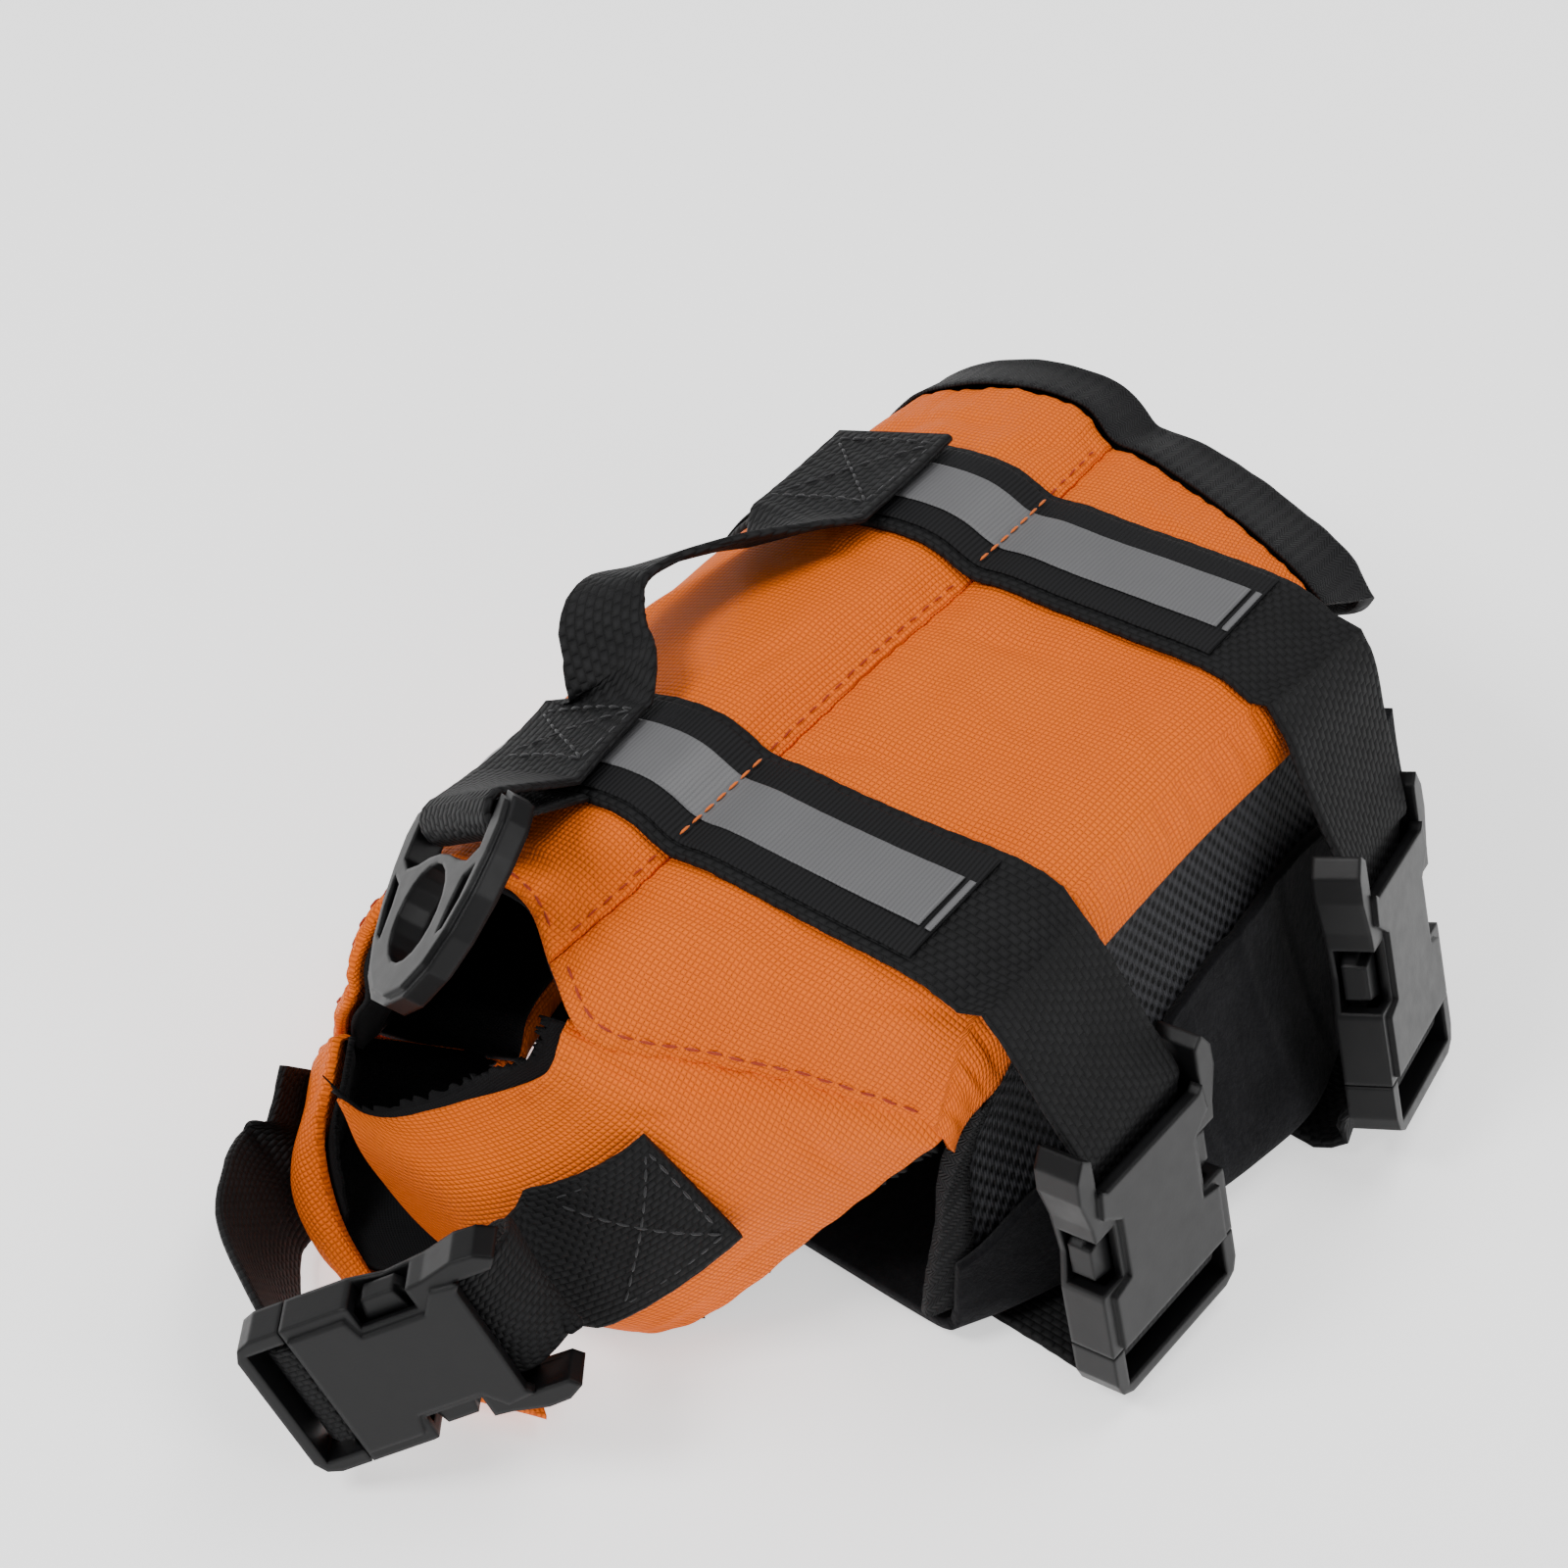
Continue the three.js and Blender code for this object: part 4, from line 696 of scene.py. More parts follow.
def wing_foam(name, wing, table, node, seed, first):
    a = samples(0, 1, 58, 0.03)
    b = samples(first, 1, 84, 0.02)

    def outer(x, y):
        edge = np.exp(-np.minimum(y, 0.9 * x) / 0.05)
        pucker = 0.1 * edge * np.sin(x * 42 + 2 * np.sin(x * 9))
        pucker = pucker + 0.16 * np.exp(-np.minimum(x, 1 - x) / 0.05) * np.sin(y * 58)
        return WING_LIFT * edge_round(x, y) + creases(table, x, y) + 0.16 * ripple(x, y, 0.36, seed) + pucker

    lift_out = grid(wing, a, b, outer)
    lift_in = grid(wing, a, b, lambda x, y: WING_LIFT * edge_round(x, y) - wing_thickness(x, y))
    # towards the seam the edge turns under the back's front edge
    under = smooth((0.045 - b) / 0.08)[:, None]
    turn_in = -1.5 * under[..., None] * wing.normals(a, b)
    lift_out, lift_in = lift_out + turn_in, lift_in + turn_in
    full = 0.4 + 0.6 * roundness(a, 0.03)[None, :] * roundness(b, 0.02)[:, None]
    return closed(name, lift_out, lift_in, ORANGE, full, replaced=(node,), floor=FLOOR_GAP - 0.4)


def wing_lining(name, wing, node, end, seed):
    a = np.linspace(-0.05, 1.02, 100)
    b = np.linspace(0.0, end, 110)
    r = np.random.default_rng(seed)
    jag_a, jag_b = r.uniform(0, 1, 110), r.uniform(0, 1, 100)

    def skin(extra):
        def lift(x, y):
            cx, cy = np.clip(x, 0, 1), np.clip(y, 0, 1)
            under_foam = WING_LIFT * edge_round(cx, cy) - wing_thickness(cx, cy) - LINING_GAP
            return under_foam - extra + 0.12 * ripple(x, y, 0.3, seed)
        return lift

    outer, inner = grid(wing, a, b, skin(0)), grid(wing, a, b, skin(LINING_THICK))
    # raw edge: the outermost rows jut out unevenly
    for pts in (outer, inner):
        pts[:, 0] += (pts[:, 0] - pts[:, 2]) * (1.6 * jag_a[:, None] - 0.2)
        pts[:, -1] += (pts[:, -1] - pts[:, -3]) * (1.6 * jag_a[::-1, None] - 0.2)
        if end >= 1:
            pts[-1] += (pts[-1] - pts[-3]) * (1.2 * jag_b[:, None] + 0.2)
    return closed(name, outer, inner, BLACK_LINING, replaced=(node,))


left_foam_wing = wing_foam("foam_wing_left", left_wing, LEFT_WING_CREASES, "wing_left", 21, -0.035)
right_foam_wing = wing_foam("foam_wing_right", right_wing, RIGHT_WING_CREASES, "wing_right", 22, -0.02)
left_lining = wing_lining("lining_wing_left_skin", left_wing, "lining_wing_left", 1, 31)
right_lining = wing_lining("lining_wing_right_skin", right_wing, "lining_wing_right", 0.86, 32)


# Binding of the rear edge
def rear_binding():
    across = np.linspace(RIGHT_EDGE_AT + 1, 88, 260)
    rings = []
    edge = back.points(across, [REAR])[0]
    up = back.normals(across, [REAR])[0]
    run = unit(back.points(across + 0.5, [REAR])[0] - back.points(across - 0.5, [REAR])[0])
    out = unit(np.cross(up, run))
    out *= np.where(out[:, 1:2] < 0, -1, 1)
    middle = edge + up * (pinch(across) - SEAM_THICK / 2)[:, None]
    wobble = 0.2 * np.sin(across * 0.16) + 0.06 * np.sin(across * 0.9 + 1)
    droop = np.zeros_like(middle)
    droop[:, 2] = -np.minimum(2.2, np.maximum(0, middle[:, 2] - 1.7 - FLOOR_GAP) * 0.2)
    count = 22
    for k in range(count + 1):
        t = math.pi * k / count
        reach = max(0.3, 12 * (1 - abs(1 - 2 * k / count) ** 2.6))
        side_of = math.cos(t)
        height = 1.9 * np.sign(side_of) * min(1, abs(side_of) * 1.8) ** 0.6
        outwards = out * (reach + wobble * min(reach / 6, 1))[:, None]
        upwards = up * (height + 0.05 * np.sin(across * 0.5 + 0.4 * k))[:, None]
        rings.append(middle + outwards + upwards + droop * min(1, reach / 9))
    pts = np.stack(rings, axis=0)
    outer = pts
    inner = middle[None] + (pts - middle[None]) * 0.72
    return closed("binding_tape", outer, inner, TAPE_LOOK, replaced=("binding_rear",))


binding = rear_binding()


# Left side: mesh, belly panel outside it, and the folded tape on its front edge
def side_panel():
    across = np.linspace(-0.02, 0.95, 90)
    along = np.linspace(-19.3, 102.3, 170)

    def lift(extra):
        def at(a, v):
            hang = smooth(a / 0.25) * smooth((0.97 - a) / 0.2)
            return extra + 0.55 * hang * ripple(a * 60, v, 42, 41) * 0.7 - 0.15
        return at

    outer, inner = grid(side, across, along, lift(0)), grid(side, across, along, lift(-MESH_THICK))
    return closed("mesh_side", outer, inner, MESH_LOOK, replaced=("side_mesh",))


BELLY_CREASES = [
    (7.0, 18, 80, 1.4, 4, 0.5), (6.4, 30, 80, 1.4, 3.4, -0.5), (7.2, 46, 90, 1.3, 3.6, 0.45), (6.6, 58, 90, 1.4, 3.2, -0.5),
    (7.1, 84, 80, 1.3, 3.6, 0.45), (5.6, 8, 70, 1.2, 3, -0.4), (5.8, 92, 95, 1.2, 3, -0.4),
]


def belly_sheet():
    across = np.concatenate([np.linspace(0, 2.6, 34), np.linspace(2.7, 5.2, 60), np.linspace(5.28, 8, 60)])
    along = np.linspace(-20, 103, 170)

    def lift(extra):
        def at(a, v):
            upright = smooth((a - 4.6) / 1.2)
            return extra + upright * (creases(BELLY_CREASES, a, v) + 0.3 * ripple(a * 9, v, 26, 43))
        return at

    outer, inner = grid(belly, across, along, lift(0)), grid(belly, across, along, lift(-BELLY_THICK))
    return closed("panel_belly", outer, inner, FUZZY, replaced=("belly_panel",), floor=FLOOR_GAP - 0.3)


mesh_side = side_panel()
panel_belly = belly_sheet()


def side_binding():
    share = np.linspace(0.0, 0.94, 90)
    at = -19.0
    base = side.points(share, [at])[0]
    up = side.normals(share, [at])[0]
    out = unit(side.points(share, [at - 0.5])[0] - base)
    middle = base + up * (-MESH_THICK / 2)
    rings = []
    for k in range(19):
        t = k / 18
        reach = 4.6 * (1 - abs(1 - 2 * t) ** 2.4)
        height = 1.55 * math.copysign(min(1, abs(1 - 2 * t) * 2.2) ** 0.6, 1 - 2 * t)
        outwards = out * (max(reach, 0) - 3.2 * (abs(1 - 2 * t) ** 4) + 0.4)
        rings.append(middle + outwards + up * (height + 0.1 * np.sin(share * 60)[:, None]))
    outer = np.stack(rings, axis=0)
    inner = middle[None] + (outer - middle[None]) * 0.75
    return closed("tape_side_fold", outer, inner, TAPE_LOOK, replaced=("tape_side",))


side_fold = side_binding()


# Straps: a rounded flat section carried along a run of frames; each frame is the middle of the strap's inner face
def strap(name, frames, thick, material, replaced, rough_edge=0.12, floor=None, seed=1):
    at, sides, ups, widths = (np.array(x, float) for x in frames)
    k = samples(-0.5, 0.5, 22, 0.035)
    wave = np.random.default_rng(seed)
    phase = wave.uniform(0, 6, 2)
    walk = np.concatenate([[0], np.cumsum(np.linalg.norm(np.diff(at, axis=0), axis=1))])
    edge = rough_edge * (np.sin(walk * 1.3 + phase[0]) + 0.6 * np.sin(walk * 2.9 + phase[1]))
    width = widths + edge
    full = roundness(k, 0.035)[None, :]
    flat = at[:, None] + sides[:, None] * (k[None, :] * width[:, None])[..., None]
    outer = flat + ups[:, None] * (thick / 2 + thick / 2 * full)[..., None]
    inner = flat + ups[:, None] * (thick / 2 - thick / 2 * full)[..., None]
    return closed(name, outer, inner, material, replaced=replaced, floor=floor)


# frames on a surface: middle of the strap at (across, along) with the strap's width along the surface
def frames_on_back(s_values, along, width, lift):
    at, sides, ups, widths = [], [], [], []
    for s in s_values:
        p = back.points([s], [along - width / 2, along, along + width / 2])[:, 0]
        n = back.normals([s], [along])[0, 0]
        across = p[2] - p[0]
        sides.append(unit(across))
        ups.append(unit(n - unit(across) * (n @ unit(across))))
        at.append((p[0] + p[2]) / 2 * 0.35 + p[1] * 0.65 + n * (pinch(s) + lift))
        widths.append(width)
    return [np.array(at), np.array(sides), np.array(ups), np.array(widths)]


def frames_free(points, side_from, side_to, width, step=1.2, turned_by=1.0):
    points = np.array(points, float)
    last = len(points) - 1
    length = np.linalg.norm(np.diff(points, axis=0), axis=1).sum()
    t = np.linspace(0, last, max(8, int(length / step)))
    place = weights(np.arange(last + 1), t) @ points
    run = unit(weights(np.arange(last + 1), t + 0.02) @ points - weights(np.arange(last + 1), t - 0.02) @ points)
    turn = smooth(t / (last * turned_by))[:, None]
    sides = np.asarray(side_from)[None] * (1 - turn) + np.asarray(side_to)[None] * turn
    sides = unit(sides - run * np.sum(sides * run, axis=1, keepdims=True))
    ups = np.cross(run, sides)
    return [place, sides, ups, np.full(len(t), float(width))]


def joined(*runs):
    return [np.concatenate([r[i] for r in runs]) for i in range(4)]


class Buckle:
    def __init__(self, mouth, axis, across, size):
        self.mouth, self.size = np.array(mouth, float), size
        self.a = unit(np.array(axis, float))
        b = np.array(across, float)
        self.b = unit(b - self.a * (b @ self.a))
        self.n = np.cross(self.a, self.b)

    def at(self, x, y, z):
        return self.mouth + self.size * (-self.b * x + self.a * y + self.n * z)


front_buckle = Buckle([84.8, 0, 41.8], [0.219, 0, -0.976], [0, 1, 0], 1)
rear_buckle = Buckle([83.6, 67.8, 41.4], [0.37, -0.173, -0.913], [-0.22, 0.938, -0.267], 1)
neck_buckle = Buckle([29.3, -75.4, 30.6], [-0.675, -0.594, -0.44], [0.455, 0.135, -0.88], 0.88)

DROPS = {
    "front": [[67.4, 0, 66], [70.8, 0, 62.8], [74.4, 0, 58.6], [79.4, 0, 52.6]],
    "rear": [[66.8, 74, 68.4], [70.4, 73.6, 64], [74, 72.4, 58], [78.8, 70.8, 51]],
}
Y = np.array([0, 1.0, 0])


def back_band(which, along, frame):
    on = frames_on_back(np.linspace(-80, 89, 190), along, WEBBING_WIDTH, SEAM_GAP)
    half = WEBBING_THICK / 2
    outer = DROPS[which] + [frame.at(0, -4, 0.5 + half), frame.at(0, 0, half), frame.at(0, 3.9, half)]
    free = frames_free(outer, Y, frame.b, WEBBING_WIDTH - 0.5)
    free[0] = free[0] - free[2] * WEBBING_THICK
    if np.sum(on[2][-1] * free[2][0]) < 0:
        free[2] = -free[2]
    frames = joined(on, free)
    return strap("webbing_back_" + which, frames, WEBBING_THICK, BAND_WEAVE, ("band_" + which,), floor=0.0, seed=len(which))


bands = [back_band("front", 0, front_buckle), back_band("rear", BAND_SPACING, rear_buckle)]

ON_BAND = SEAM_GAP + WEBBING_THICK + 0.12
ON_RIBBON = ON_BAND + 0.4 + 0.1
ON_STRIPE = SEAM_GAP * 4 + WEBBING_THICK + 0.7


def trims(which, along):
    places = np.linspace(-52, 77.5, 170)
    wide = frames_on_back(places, along, 21, ON_BAND)
    narrow = frames_on_back(np.linspace(-52, 75.2, 170), along, 10.5, ON_RIBBON)
    end = frames_on_back(np.linspace(76.2, 77.2, 5), along, 10.5, ON_RIBBON)
    black = strap("ribbon_face_" + which, wide, 0.5, RIBBON_BLACK, ("ribbon_" + which,), 0.06, seed=5)
    grey = strap("stripe_face_" + which, narrow, 0.4, REFLECTIVE, ("stripe_" + which,), 0.03, seed=6)
    fold = strap("stripe_fold_" + which, end, 0.4, REFLECTIVE, (), 0.0, seed=6)
    return [black, grey, fold]


trim_pieces = trims("front", 0) + trims("rear", BAND_SPACING)


# run of the belly webbing through the buckle's slot, in the buckle's own frame
THROUGH_SLOT = [(41.4, -6.6), (38.6, -5.6), (36.6, -3.4), (35.6, 0), (34.2, 2.3), (32.4, 2.7), (30.9, 2.7)]


def belly_band(which, along, frame):
    start = back.at(-80, along)[0] + 1.6
    slot = [frame.at(0, y, z) for y, z in THROUGH_SLOT]
    foot = slot[0] - frame.n * 4.4
    foot[2] = 0
    level = unit(np.array([frame.b[0], frame.b[1], 0]))
    xs = np.linspace(start, foot[0], 80)
    turn = smooth((xs - 40) / (foot[0] - 46))
    at = np.stack([xs, lerp(along, foot[1], turn), 0 * xs], axis=1)
    sides = unit(Y[None] * (1 - turn[:, None]) + level[None] * turn[:, None])
    ups = np.tile([0, 0, 1.0], (len(xs), 1))
    flat = [at, sides, ups, np.full(len(xs), WEBBING_WIDTH - 1)]
    rise = frames_free([foot, *slot], level, frame.b, WEBBING_WIDTH - 1, turned_by=0.5)
    rise = [r[1:] for r in rise]
    frames = joined(flat, rise)
    return strap("webbing_belly_" + which, frames, WEBBING_THICK, BAND_WEAVE, ("belly_band_" + which,), floor=0.0, seed=9)


belly_bands = [belly_band("front", 0, front_buckle), belly_band("rear", BAND_SPACING, rear_buckle)]

# Handle
RING_MIDDLE = np.array([-13, -28.2, 68])
ring_x = unit(np.array([0.73, -0.14, 0.67]))
ring_y = np.array([0.257, -0.87, -0.42])
ring_y = unit(ring_y - ring_x * (ring_y @ ring_x))
ring_z = np.cross(ring_x, ring_y)
if ring_z[2] < 0:
    ring_x, ring_z = -ring_x, -ring_z
HANDLE_FREE = [
    ([-17.8, 50, 64.6], [0.74, -0.12, 0.66], 22), ([-20.8, 43, 66.5], [0.66, -0.28, 0.7], 20),
    ([-23.9, 35.8, 67.5], [0.66, -0.28, 0.7], 18), ([-26.4, 29.5, 68], [0.74, -0.1, 0.66], 15),
    ([-28, 22.3, 68.5], [0.86, 0.25, 0.4], 13), ([-25.6, 16.4, 67.5], [0.89, 0.38, 0.25], 14),
    ([-21.7, 12.9, 65.5], [0.88, 0.36, 0.3], 15), ([-18.2, 10.2, 64.2], [0.84, 0.16, 0.5], 18),
]


def handle_frames():
    def sewn(start, end, middle_from, middle_to, count):
        rows = [[], [], [], []]
        for t in np.linspace(0, 1, count):
            along, mid = lerp(start, end, t), lerp(middle_from, middle_to, t)
            p = back.points([mid - 12.5, mid, mid + 12.5], [along])[0]
            ends = []
            for point, place in zip(p, (mid - 12.5, mid, mid + 12.5)):
                ends.append(point + back.normals([place], [along])[0, 0] * (pinch(place) + ON_STRIPE))
            normal = back.normals([mid], [along])[0, 0]
            direction = unit(ends[2] - ends[0])
            rows[0].append(0.4 * (ends[0] + ends[2]) / 2 + 0.6 * ends[1])
            rows[1].append(direction)
            rows[2].append(unit(normal - direction * (normal @ direction)))
            rows[3].append(WEBBING_WIDTH)
        return [np.array(r) for r in rows]

    rear = sewn(84, 58, 3.2, 4.6, 22)
    t = np.linspace(0, 7, 56)
    w = weights(np.arange(8), t)
    at = w @ np.array([r[0] for r in HANDLE_FREE], float)
    run = unit(weights(np.arange(8), t + 0.02) @ np.array([r[0] for r in HANDLE_FREE], float)
               - weights(np.arange(8), t - 0.02) @ np.array([r[0] for r in HANDLE_FREE], float))
    sides = w @ np.array([r[1] for r in HANDLE_FREE], float)
    sides = unit(sides - run * np.sum(sides * run, axis=1, keepdims=True))
    free = [at, sides, np.cross(run, sides), w @ np.array([r[2] for r in HANDLE_FREE], float)]
    front = sewn(8, -14, 4, 6, 20)
    bar = 2.3
    across = ring_x * np.sign(ring_x[0])
    wrap = [[], [], [], []]
    for degrees in np.linspace(135, -100, 30):
        a = math.radians(degrees)
        up = ring_y * math.cos(a) + ring_z * math.sin(a)
        wrap[0].append(RING_MIDDLE + up * bar)
        wrap[1].append(across)
        wrap[2].append(up)
        wrap[3].append(WEBBING_WIDTH * 0.93)
    wrap = [np.array(r) for r in wrap]
    tucked = [[], [], [], []]
    for along, lift in ((-17, 1.4), (-14.2, 0.3)):
        normal = back.normals([6], [along])[0, 0]
        p = back.points([6 - 12.5, 6, 6 + 12.5], [along])[0]
        direction = unit(p[2] - p[0])
        tucked[0].append(p[1] * 0.6 + (p[0] + p[2]) * 0.2 + normal * (lift + 1.5))
        tucked[1].append(direction)
        tucked[2].append(-unit(normal - direction * (normal @ direction)))
        tucked[3].append(WEBBING_WIDTH)
    tucked = [np.array(r) for r in tucked]
    return smoothed(joined(rear, free, front, wrap, tucked))


# Even spacing along the run, with the frames blended between the given ones
def smoothed(frames, step=1.1):
    at, sides, ups, widths = frames
    walk = np.concatenate([[0], np.cumsum(np.linalg.norm(np.diff(at, axis=0), axis=1))])
    keep = np.concatenate([[True], np.diff(walk) > 1e-4])
    at, sides, ups, widths, walk = at[keep], sides[keep], ups[keep], widths[keep], walk[keep]
    xs = np.linspace(0, walk[-1], max(12, int(walk[-1] / step)))
    w = weights(walk, xs)
    return [w @ at, unit(w @ sides), unit(w @ ups), w @ widths]


handle = strap("webbing_handle", handle_frames(), WEBBING_THICK, HANDLE_WEAVE, ("handle",), 0.14, seed=12)

# Neck strap: both halves


def strap_on_wing(wing, start, end, count):
    rows = [[], [], [], []]
    for t in np.linspace(0, 1, count):
        ends = []
        for i in (0, 1):
            a, b = lerp(start[i][0], end[i][0], t), lerp(start[i][1], end[i][1], t)
            ends.append(wing.at(a, b, WING_LIFT + 1.15))
        mid_a = lerp((start[0][0] + start[1][0]) / 2, (end[0][0] + end[1][0]) / 2, t)
        mid_b = lerp((start[0][1] + start[1][1]) / 2, (end[0][1] + end[1][1]) / 2, t)
        middle, normal = wing.at(mid_a, mid_b, WING_LIFT + 1.15), wing.normals([mid_a], [mid_b])[0, 0]
        direction = unit(ends[1] - ends[0])
        rows[0].append(0.45 * (ends[0] + ends[1]) / 2 + 0.55 * middle)
        rows[1].append(direction)
        rows[2].append(unit(normal - direction * (normal @ direction)))
        rows[3].append(np.linalg.norm(ends[1] - ends[0]))
    return [np.array(r) for r in rows]


def aligned(first, second):
    if np.sum(first[1][-1] * second[1][0]) < 0:
        second[1], second[2] = -second[1], second[2]
    if np.sum(first[2][-1] * second[2][0]) < 0:
        second[2] = -second[2]
    return second


def neck_left():
    on = strap_on_wing(left_wing, [[0.32, 0.32], [0.76, 0.455]], [[0.3, 0.7], [0.75, 0.83]], 40)
    side_from = unit(left_wing.at(0.75, 0.83) - left_wing.at(0.3, 0.7))
    points = [left_wing.at(0.52, 0.8, 3.4), left_wing.at(0.52, 0.82, 8.5), neck_buckle.at(0, -7, -7.5),
              neck_buckle.at(0, -4.2, -3), neck_buckle.at(0, -1.2, -0.9), neck_buckle.at(0, 3.8, -0.85)]
    free = frames_free(points, side_from, neck_buckle.b, NECK_WIDTH, turned_by=0.5)
    frames = smoothed(joined(on, aligned(on, free)))
    return strap("webbing_neck_left", frames, NECK_THICK, NECK_WEAVE, ("neck_strap_left",), 0.08, seed=14)


def neck_right():
    on = strap_on_wing(right_wing, [[0.8, 0.12], [0.2, 0.2]], [[0.8, 0.42], [0.2, 0.5]], 36)
    side_from = unit(right_wing.at(0.2, 0.5) - right_wing.at(0.8, 0.42))
    points = [right_wing.at(0.48, 0.6, 2.6), [-23.2, -68, 11], [-18.6, -74.6, 12], [-11.6, -80.4, 13], [-3.4, -85.6, 14.6]]
    points += [neck_buckle.at(0, y, z) for y, z in ((36.4, -7), (35.1, -3), (34.5, 0), (33, 1.1), (31, 0.8))]
    free = frames_free(points, side_from, -neck_buckle.b, NECK_WIDTH, turned_by=0.5)
    frames = smoothed(joined(on, aligned(on, free)))
    return strap("webbing_neck_right", frames, NECK_THICK, NECK_WEAVE, ("neck_strap_right",), 0.08, seed=15)


neck_straps = [neck_left(), neck_right()]

# Plastic parts keep their solids
for name in ("leash_ring", "buckle_neck_female", "buckle_neck_male", "buckle_front_female", "buckle_front_male",
             "buckle_rear_female", "buckle_rear_male"):
    for slot in frame["nodes"][name].material_slots:
        slot.material = PLASTIC


# Stitches: short rounded threads laid along a line on a surface
def stitches(name, lines, length, gap, radius, material):
    verts, faces = [], []
    ring = [(math.cos(math.tau * k / 5), math.sin(math.tau * k / 5)) for k in range(5)]
    for line, ups in lines:
        line, ups = np.array(line, float), np.array(ups, float)
        walk = np.concatenate([[0], np.cumsum(np.linalg.norm(np.diff(line, axis=0), axis=1))])
        total = walk[-1]
        count = max(1, int(total // (length + gap)))
        for i in range(count):
            start = i * (length + gap) + gap / 2
            base = len(verts)
            for t, grow in ((0, 0.25), (0.25, 1), (0.75, 1), (1, 0.25)):
                x = min(start + t * length, total)
                p = np.array([np.interp(x, walk, line[:, c]) for c in range(3)])
                u = unit(np.array([np.interp(x, walk, ups[:, c]) for c in range(3)]))
                x2 = min(x + 0.3, total)
                q = np.array([np.interp(x2, walk, line[:, c]) for c in range(3)])
                x1 = max(x - 0.3, 0)
                q1 = np.array([np.interp(x1, walk, line[:, c]) for c in range(3)])
                run = unit(q - q1)
                other = unit(np.cross(run, u))
                centre = p + u * (radius * 0.5 * grow)
                verts += [centre + other * (radius * grow * cx) + u * (radius * grow * cy) for cx, cy in ring]
            for a in range(3):
                for b in range(5):
                    c = (b + 1) % 5
                    faces.append((base + a * 5 + b, base + a * 5 + c, base + a * 5 + 5 + c, base + a * 5 + 5 + b))
            faces.append(tuple(base + 4 - b for b in range(5)))
            faces.append(tuple(base + 15 + b for b in range(5)))
    return make_object(name, verts, faces, None, material)


def line_on(onto, pairs, lift):
    pairs = np.array(pairs, float)
    places, known = np.linspace(0, len(pairs) - 1, 120), np.arange(len(pairs))
    fine = np.stack([np.interp(places, known, pairs[:, i]) for i in (0, 1)], axis=1)
    line, ups = [], []
    for a, b in fine:
        n = onto.normals([a], [b])[0, 0]
        extra = lift(a, b) if callable(lift) else lift
        line.append(onto.points([a], [b])[0, 0] + n * extra)
        ups.append(n)
    return line, ups


def on_foam(s, v):
    return float(back_outer(np.array([s]), np.array([v]))[0]) + 0.05


front_seam = []
for low, high in ((-90, -36), (-32, 32), (36, 90)):
    front_seam.append(line_on(back, [(s, -36.4) for s in np.linspace(low, high, 14)], on_foam))
DARK_THREAD = thread_look("dark orange thread", (0.38, 0.03, 0.0))
seam_threads = stitches("stitches_front_seam", front_seam, 2.4, 0.9, 0.22, DARK_THREAD)
across_bands = []
for along in (0, BAND_SPACING):
    ends = [(SPINE_HALF + 0.3, along - 10.3), (SPINE_HALF + 0.3, along + 10.3)]
    across_bands.append(line_on(back, ends, SEAM_GAP + WEBBING_THICK + 1.2 - SEAM_PINCH))
band_threads = stitches("stitches_across_bands", across_bands, 2.2, 0.6, 0.22, THREAD)

# black box stitches on the handle's and the neck strap's sewn ends
BLACK_THREAD = thread_look("black thread", (0.02, 0.02, 0.022))


def box_stitches(corner, other, steps=12):
    (a0, b0), (a1, b1) = corner, other
    corners = [(a0, b0), (a1, b0), (a1, b1), (a0, b1), (a0, b0)]
    lines = [list(zip(corners, corners[1:]))[i] for i in range(4)]
    lines += [((a0, b0), (a1, b1)), ((a1, b0), (a0, b1))]
    return [[(lerp(p[0], q[0], t), lerp(p[1], q[1], t)) for t in np.linspace(0, 1, steps)] for p, q in lines]


on_handle = [line_on(back, row, ON_STRIPE + WEBBING_THICK - 0.05) for row in box_stitches((-6.5, 62), (13.5, 81))]
on_handle += [line_on(back, row, ON_STRIPE + WEBBING_THICK - 0.05) for row in box_stitches((-5.5, -9), (14.5, 5))]
handle_threads = stitches("stitches_handle", on_handle, 2.3, 0.7, 0.24, BLACK_THREAD)
on_patch = [line_on(left_wing, row, WING_LIFT + 1.15 + NECK_THICK) for row in
            ([(lerp(0.36, 0.35, t), lerp(0.36, 0.68, t)) for t in np.linspace(0, 1, 12)],
             [(lerp(0.7, 0.7, t), lerp(0.46, 0.79, t)) for t in np.linspace(0, 1, 12)],
             [(lerp(0.36, 0.7, t), lerp(0.36, 0.46, t)) for t in np.linspace(0, 1, 12)],
             [(lerp(0.36, 0.7, t), lerp(0.36, 0.76, t)) for t in np.linspace(0, 1, 12)],
             [(lerp(0.7, 0.36, t), lerp(0.46, 0.66, t)) for t in np.linspace(0, 1, 12)])]
patch_threads = stitches("stitches_neck_patch", on_patch, 2.0, 0.7, 0.2, BLACK_THREAD)
spine_lines = []
for low, high in ((-34, -13), (13, 61), (87, 104)):
    spine_lines.append(line_on(back, [(SPINE_HALF - 1.3, v) for v in np.linspace(low, high, 16)], on_foam))
spine_threads = stitches("stitches_spine_seam", spine_lines, 2.0, 1.2, 0.17, DARK_THREAD)

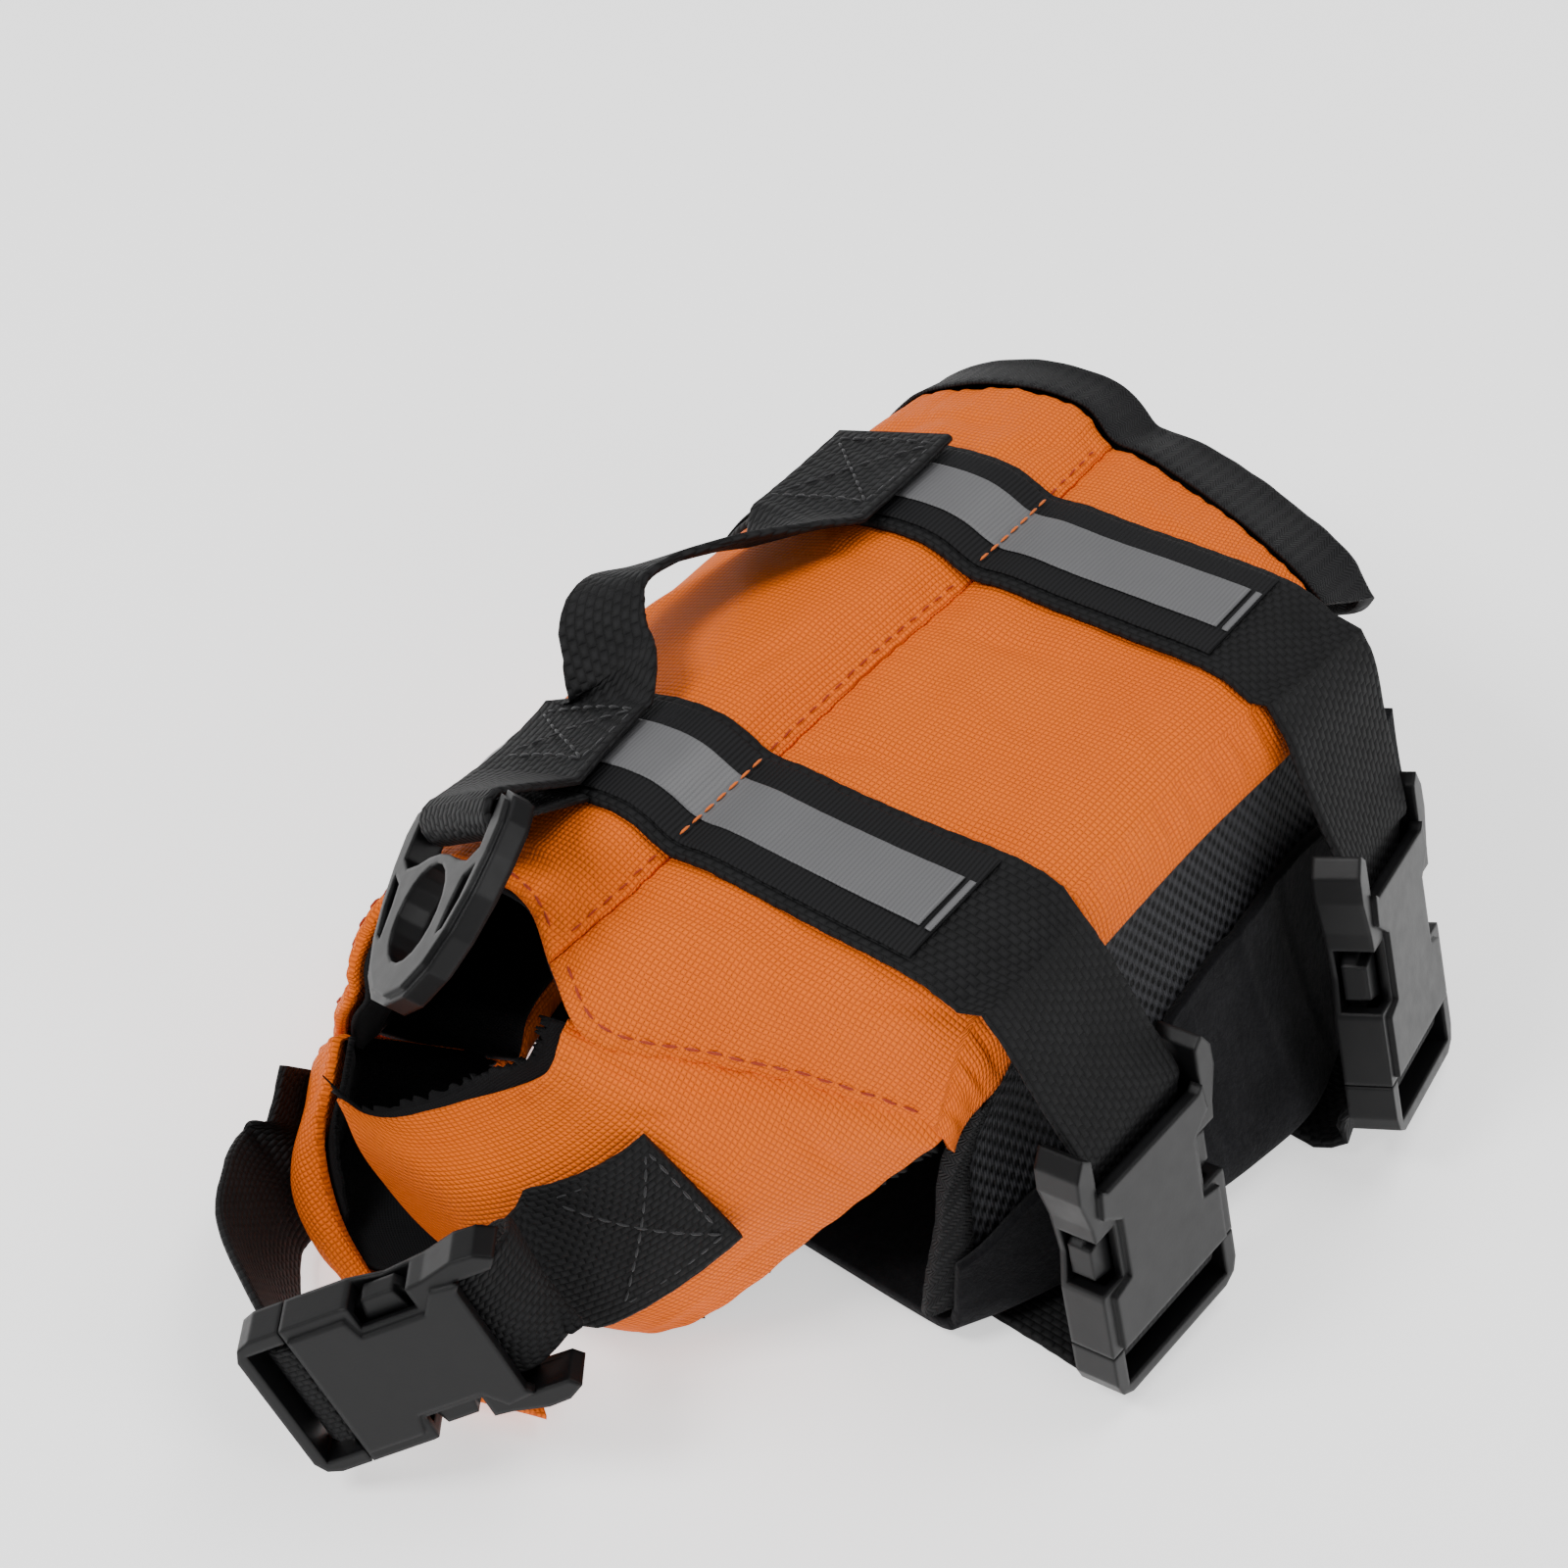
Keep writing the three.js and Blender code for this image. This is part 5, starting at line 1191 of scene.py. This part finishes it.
# Floor, light and camera
floor_mesh = bpy.data.meshes.new("floor")
FLOOR_HALF, FLOOR_AT = 4, -0.0002
floor_corners = [(x * FLOOR_HALF, y * FLOOR_HALF, FLOOR_AT) for x, y in ((-1, -1), (1, -1), (1, 1), (-1, 1))]
floor_mesh.from_pydata(floor_corners, [], [(0, 1, 2, 3)])
floor_obj = bpy.data.objects.new("floor", floor_mesh)
bpy.context.collection.objects.link(floor_obj)
pale = bpy.data.materials.new("pale floor")
pale.use_nodes = True
pale_shader = pale.node_tree.nodes["Principled BSDF"]
for socket, value in (("Base Color", (0.97, 0.97, 0.97, 1)), ("Roughness", 0.9), ("Emission Color", (1, 1, 1, 1)),
                      ("Emission Strength", 0.85), ("Specular IOR Level", 0.1)):
    pale_shader.inputs[socket].default_value = value
floor_mesh.materials.append(pale)

world = bpy.data.worlds.new("studio")
bpy.context.scene.world = world
world.use_nodes = True
world.node_tree.nodes["Background"].inputs[0].default_value = (1, 1, 1, 1)
world.node_tree.nodes["Background"].inputs[1].default_value = 0.55


def area_light(name, place, target, size, power):
    data = bpy.data.lights.new(name, "AREA")
    data.shape, data.size, data.energy = "SQUARE", size, power
    obj = bpy.data.objects.new(name, data)
    bpy.context.collection.objects.link(obj)
    obj.location = place
    obj.rotation_euler = (Vector(target) - Vector(place)).to_track_quat("-Z", "Y").to_euler()


area_light("key light", (-0.35, -0.55, 0.85), (0.01, 0.03, 0.03), 0.35, 7)
area_light("top light", (0.1, 0.45, 0.95), (0.01, 0.03, 0.03), 0.5, 4)
area_light("fill light", (0.9, 0.0, 0.5), (0.03, 0.03, 0.03), 0.4, 2.6)

camera_data = bpy.data.cameras.new("camera")
camera_data.sensor_width, camera_data.lens = 36, 90
camera_data.clip_start, camera_data.clip_end = 0.01, 20
camera_data.dof.use_dof = False
camera = bpy.data.objects.new("camera", camera_data)
bpy.context.collection.objects.link(camera)
bpy.context.scene.camera = camera
az, el, distance = math.radians(38), math.radians(45), 617.5
away = Vector((math.sin(az) * math.cos(el), -math.cos(az) * math.cos(el), math.sin(el)))
camera.location = (Vector((0, 28.5, 38)) + away * distance) * MM
right = Vector((math.cos(az), math.sin(az), 0))
up = away.cross(right)
camera.rotation_euler = Matrix((right, up, away)).transposed().to_euler()
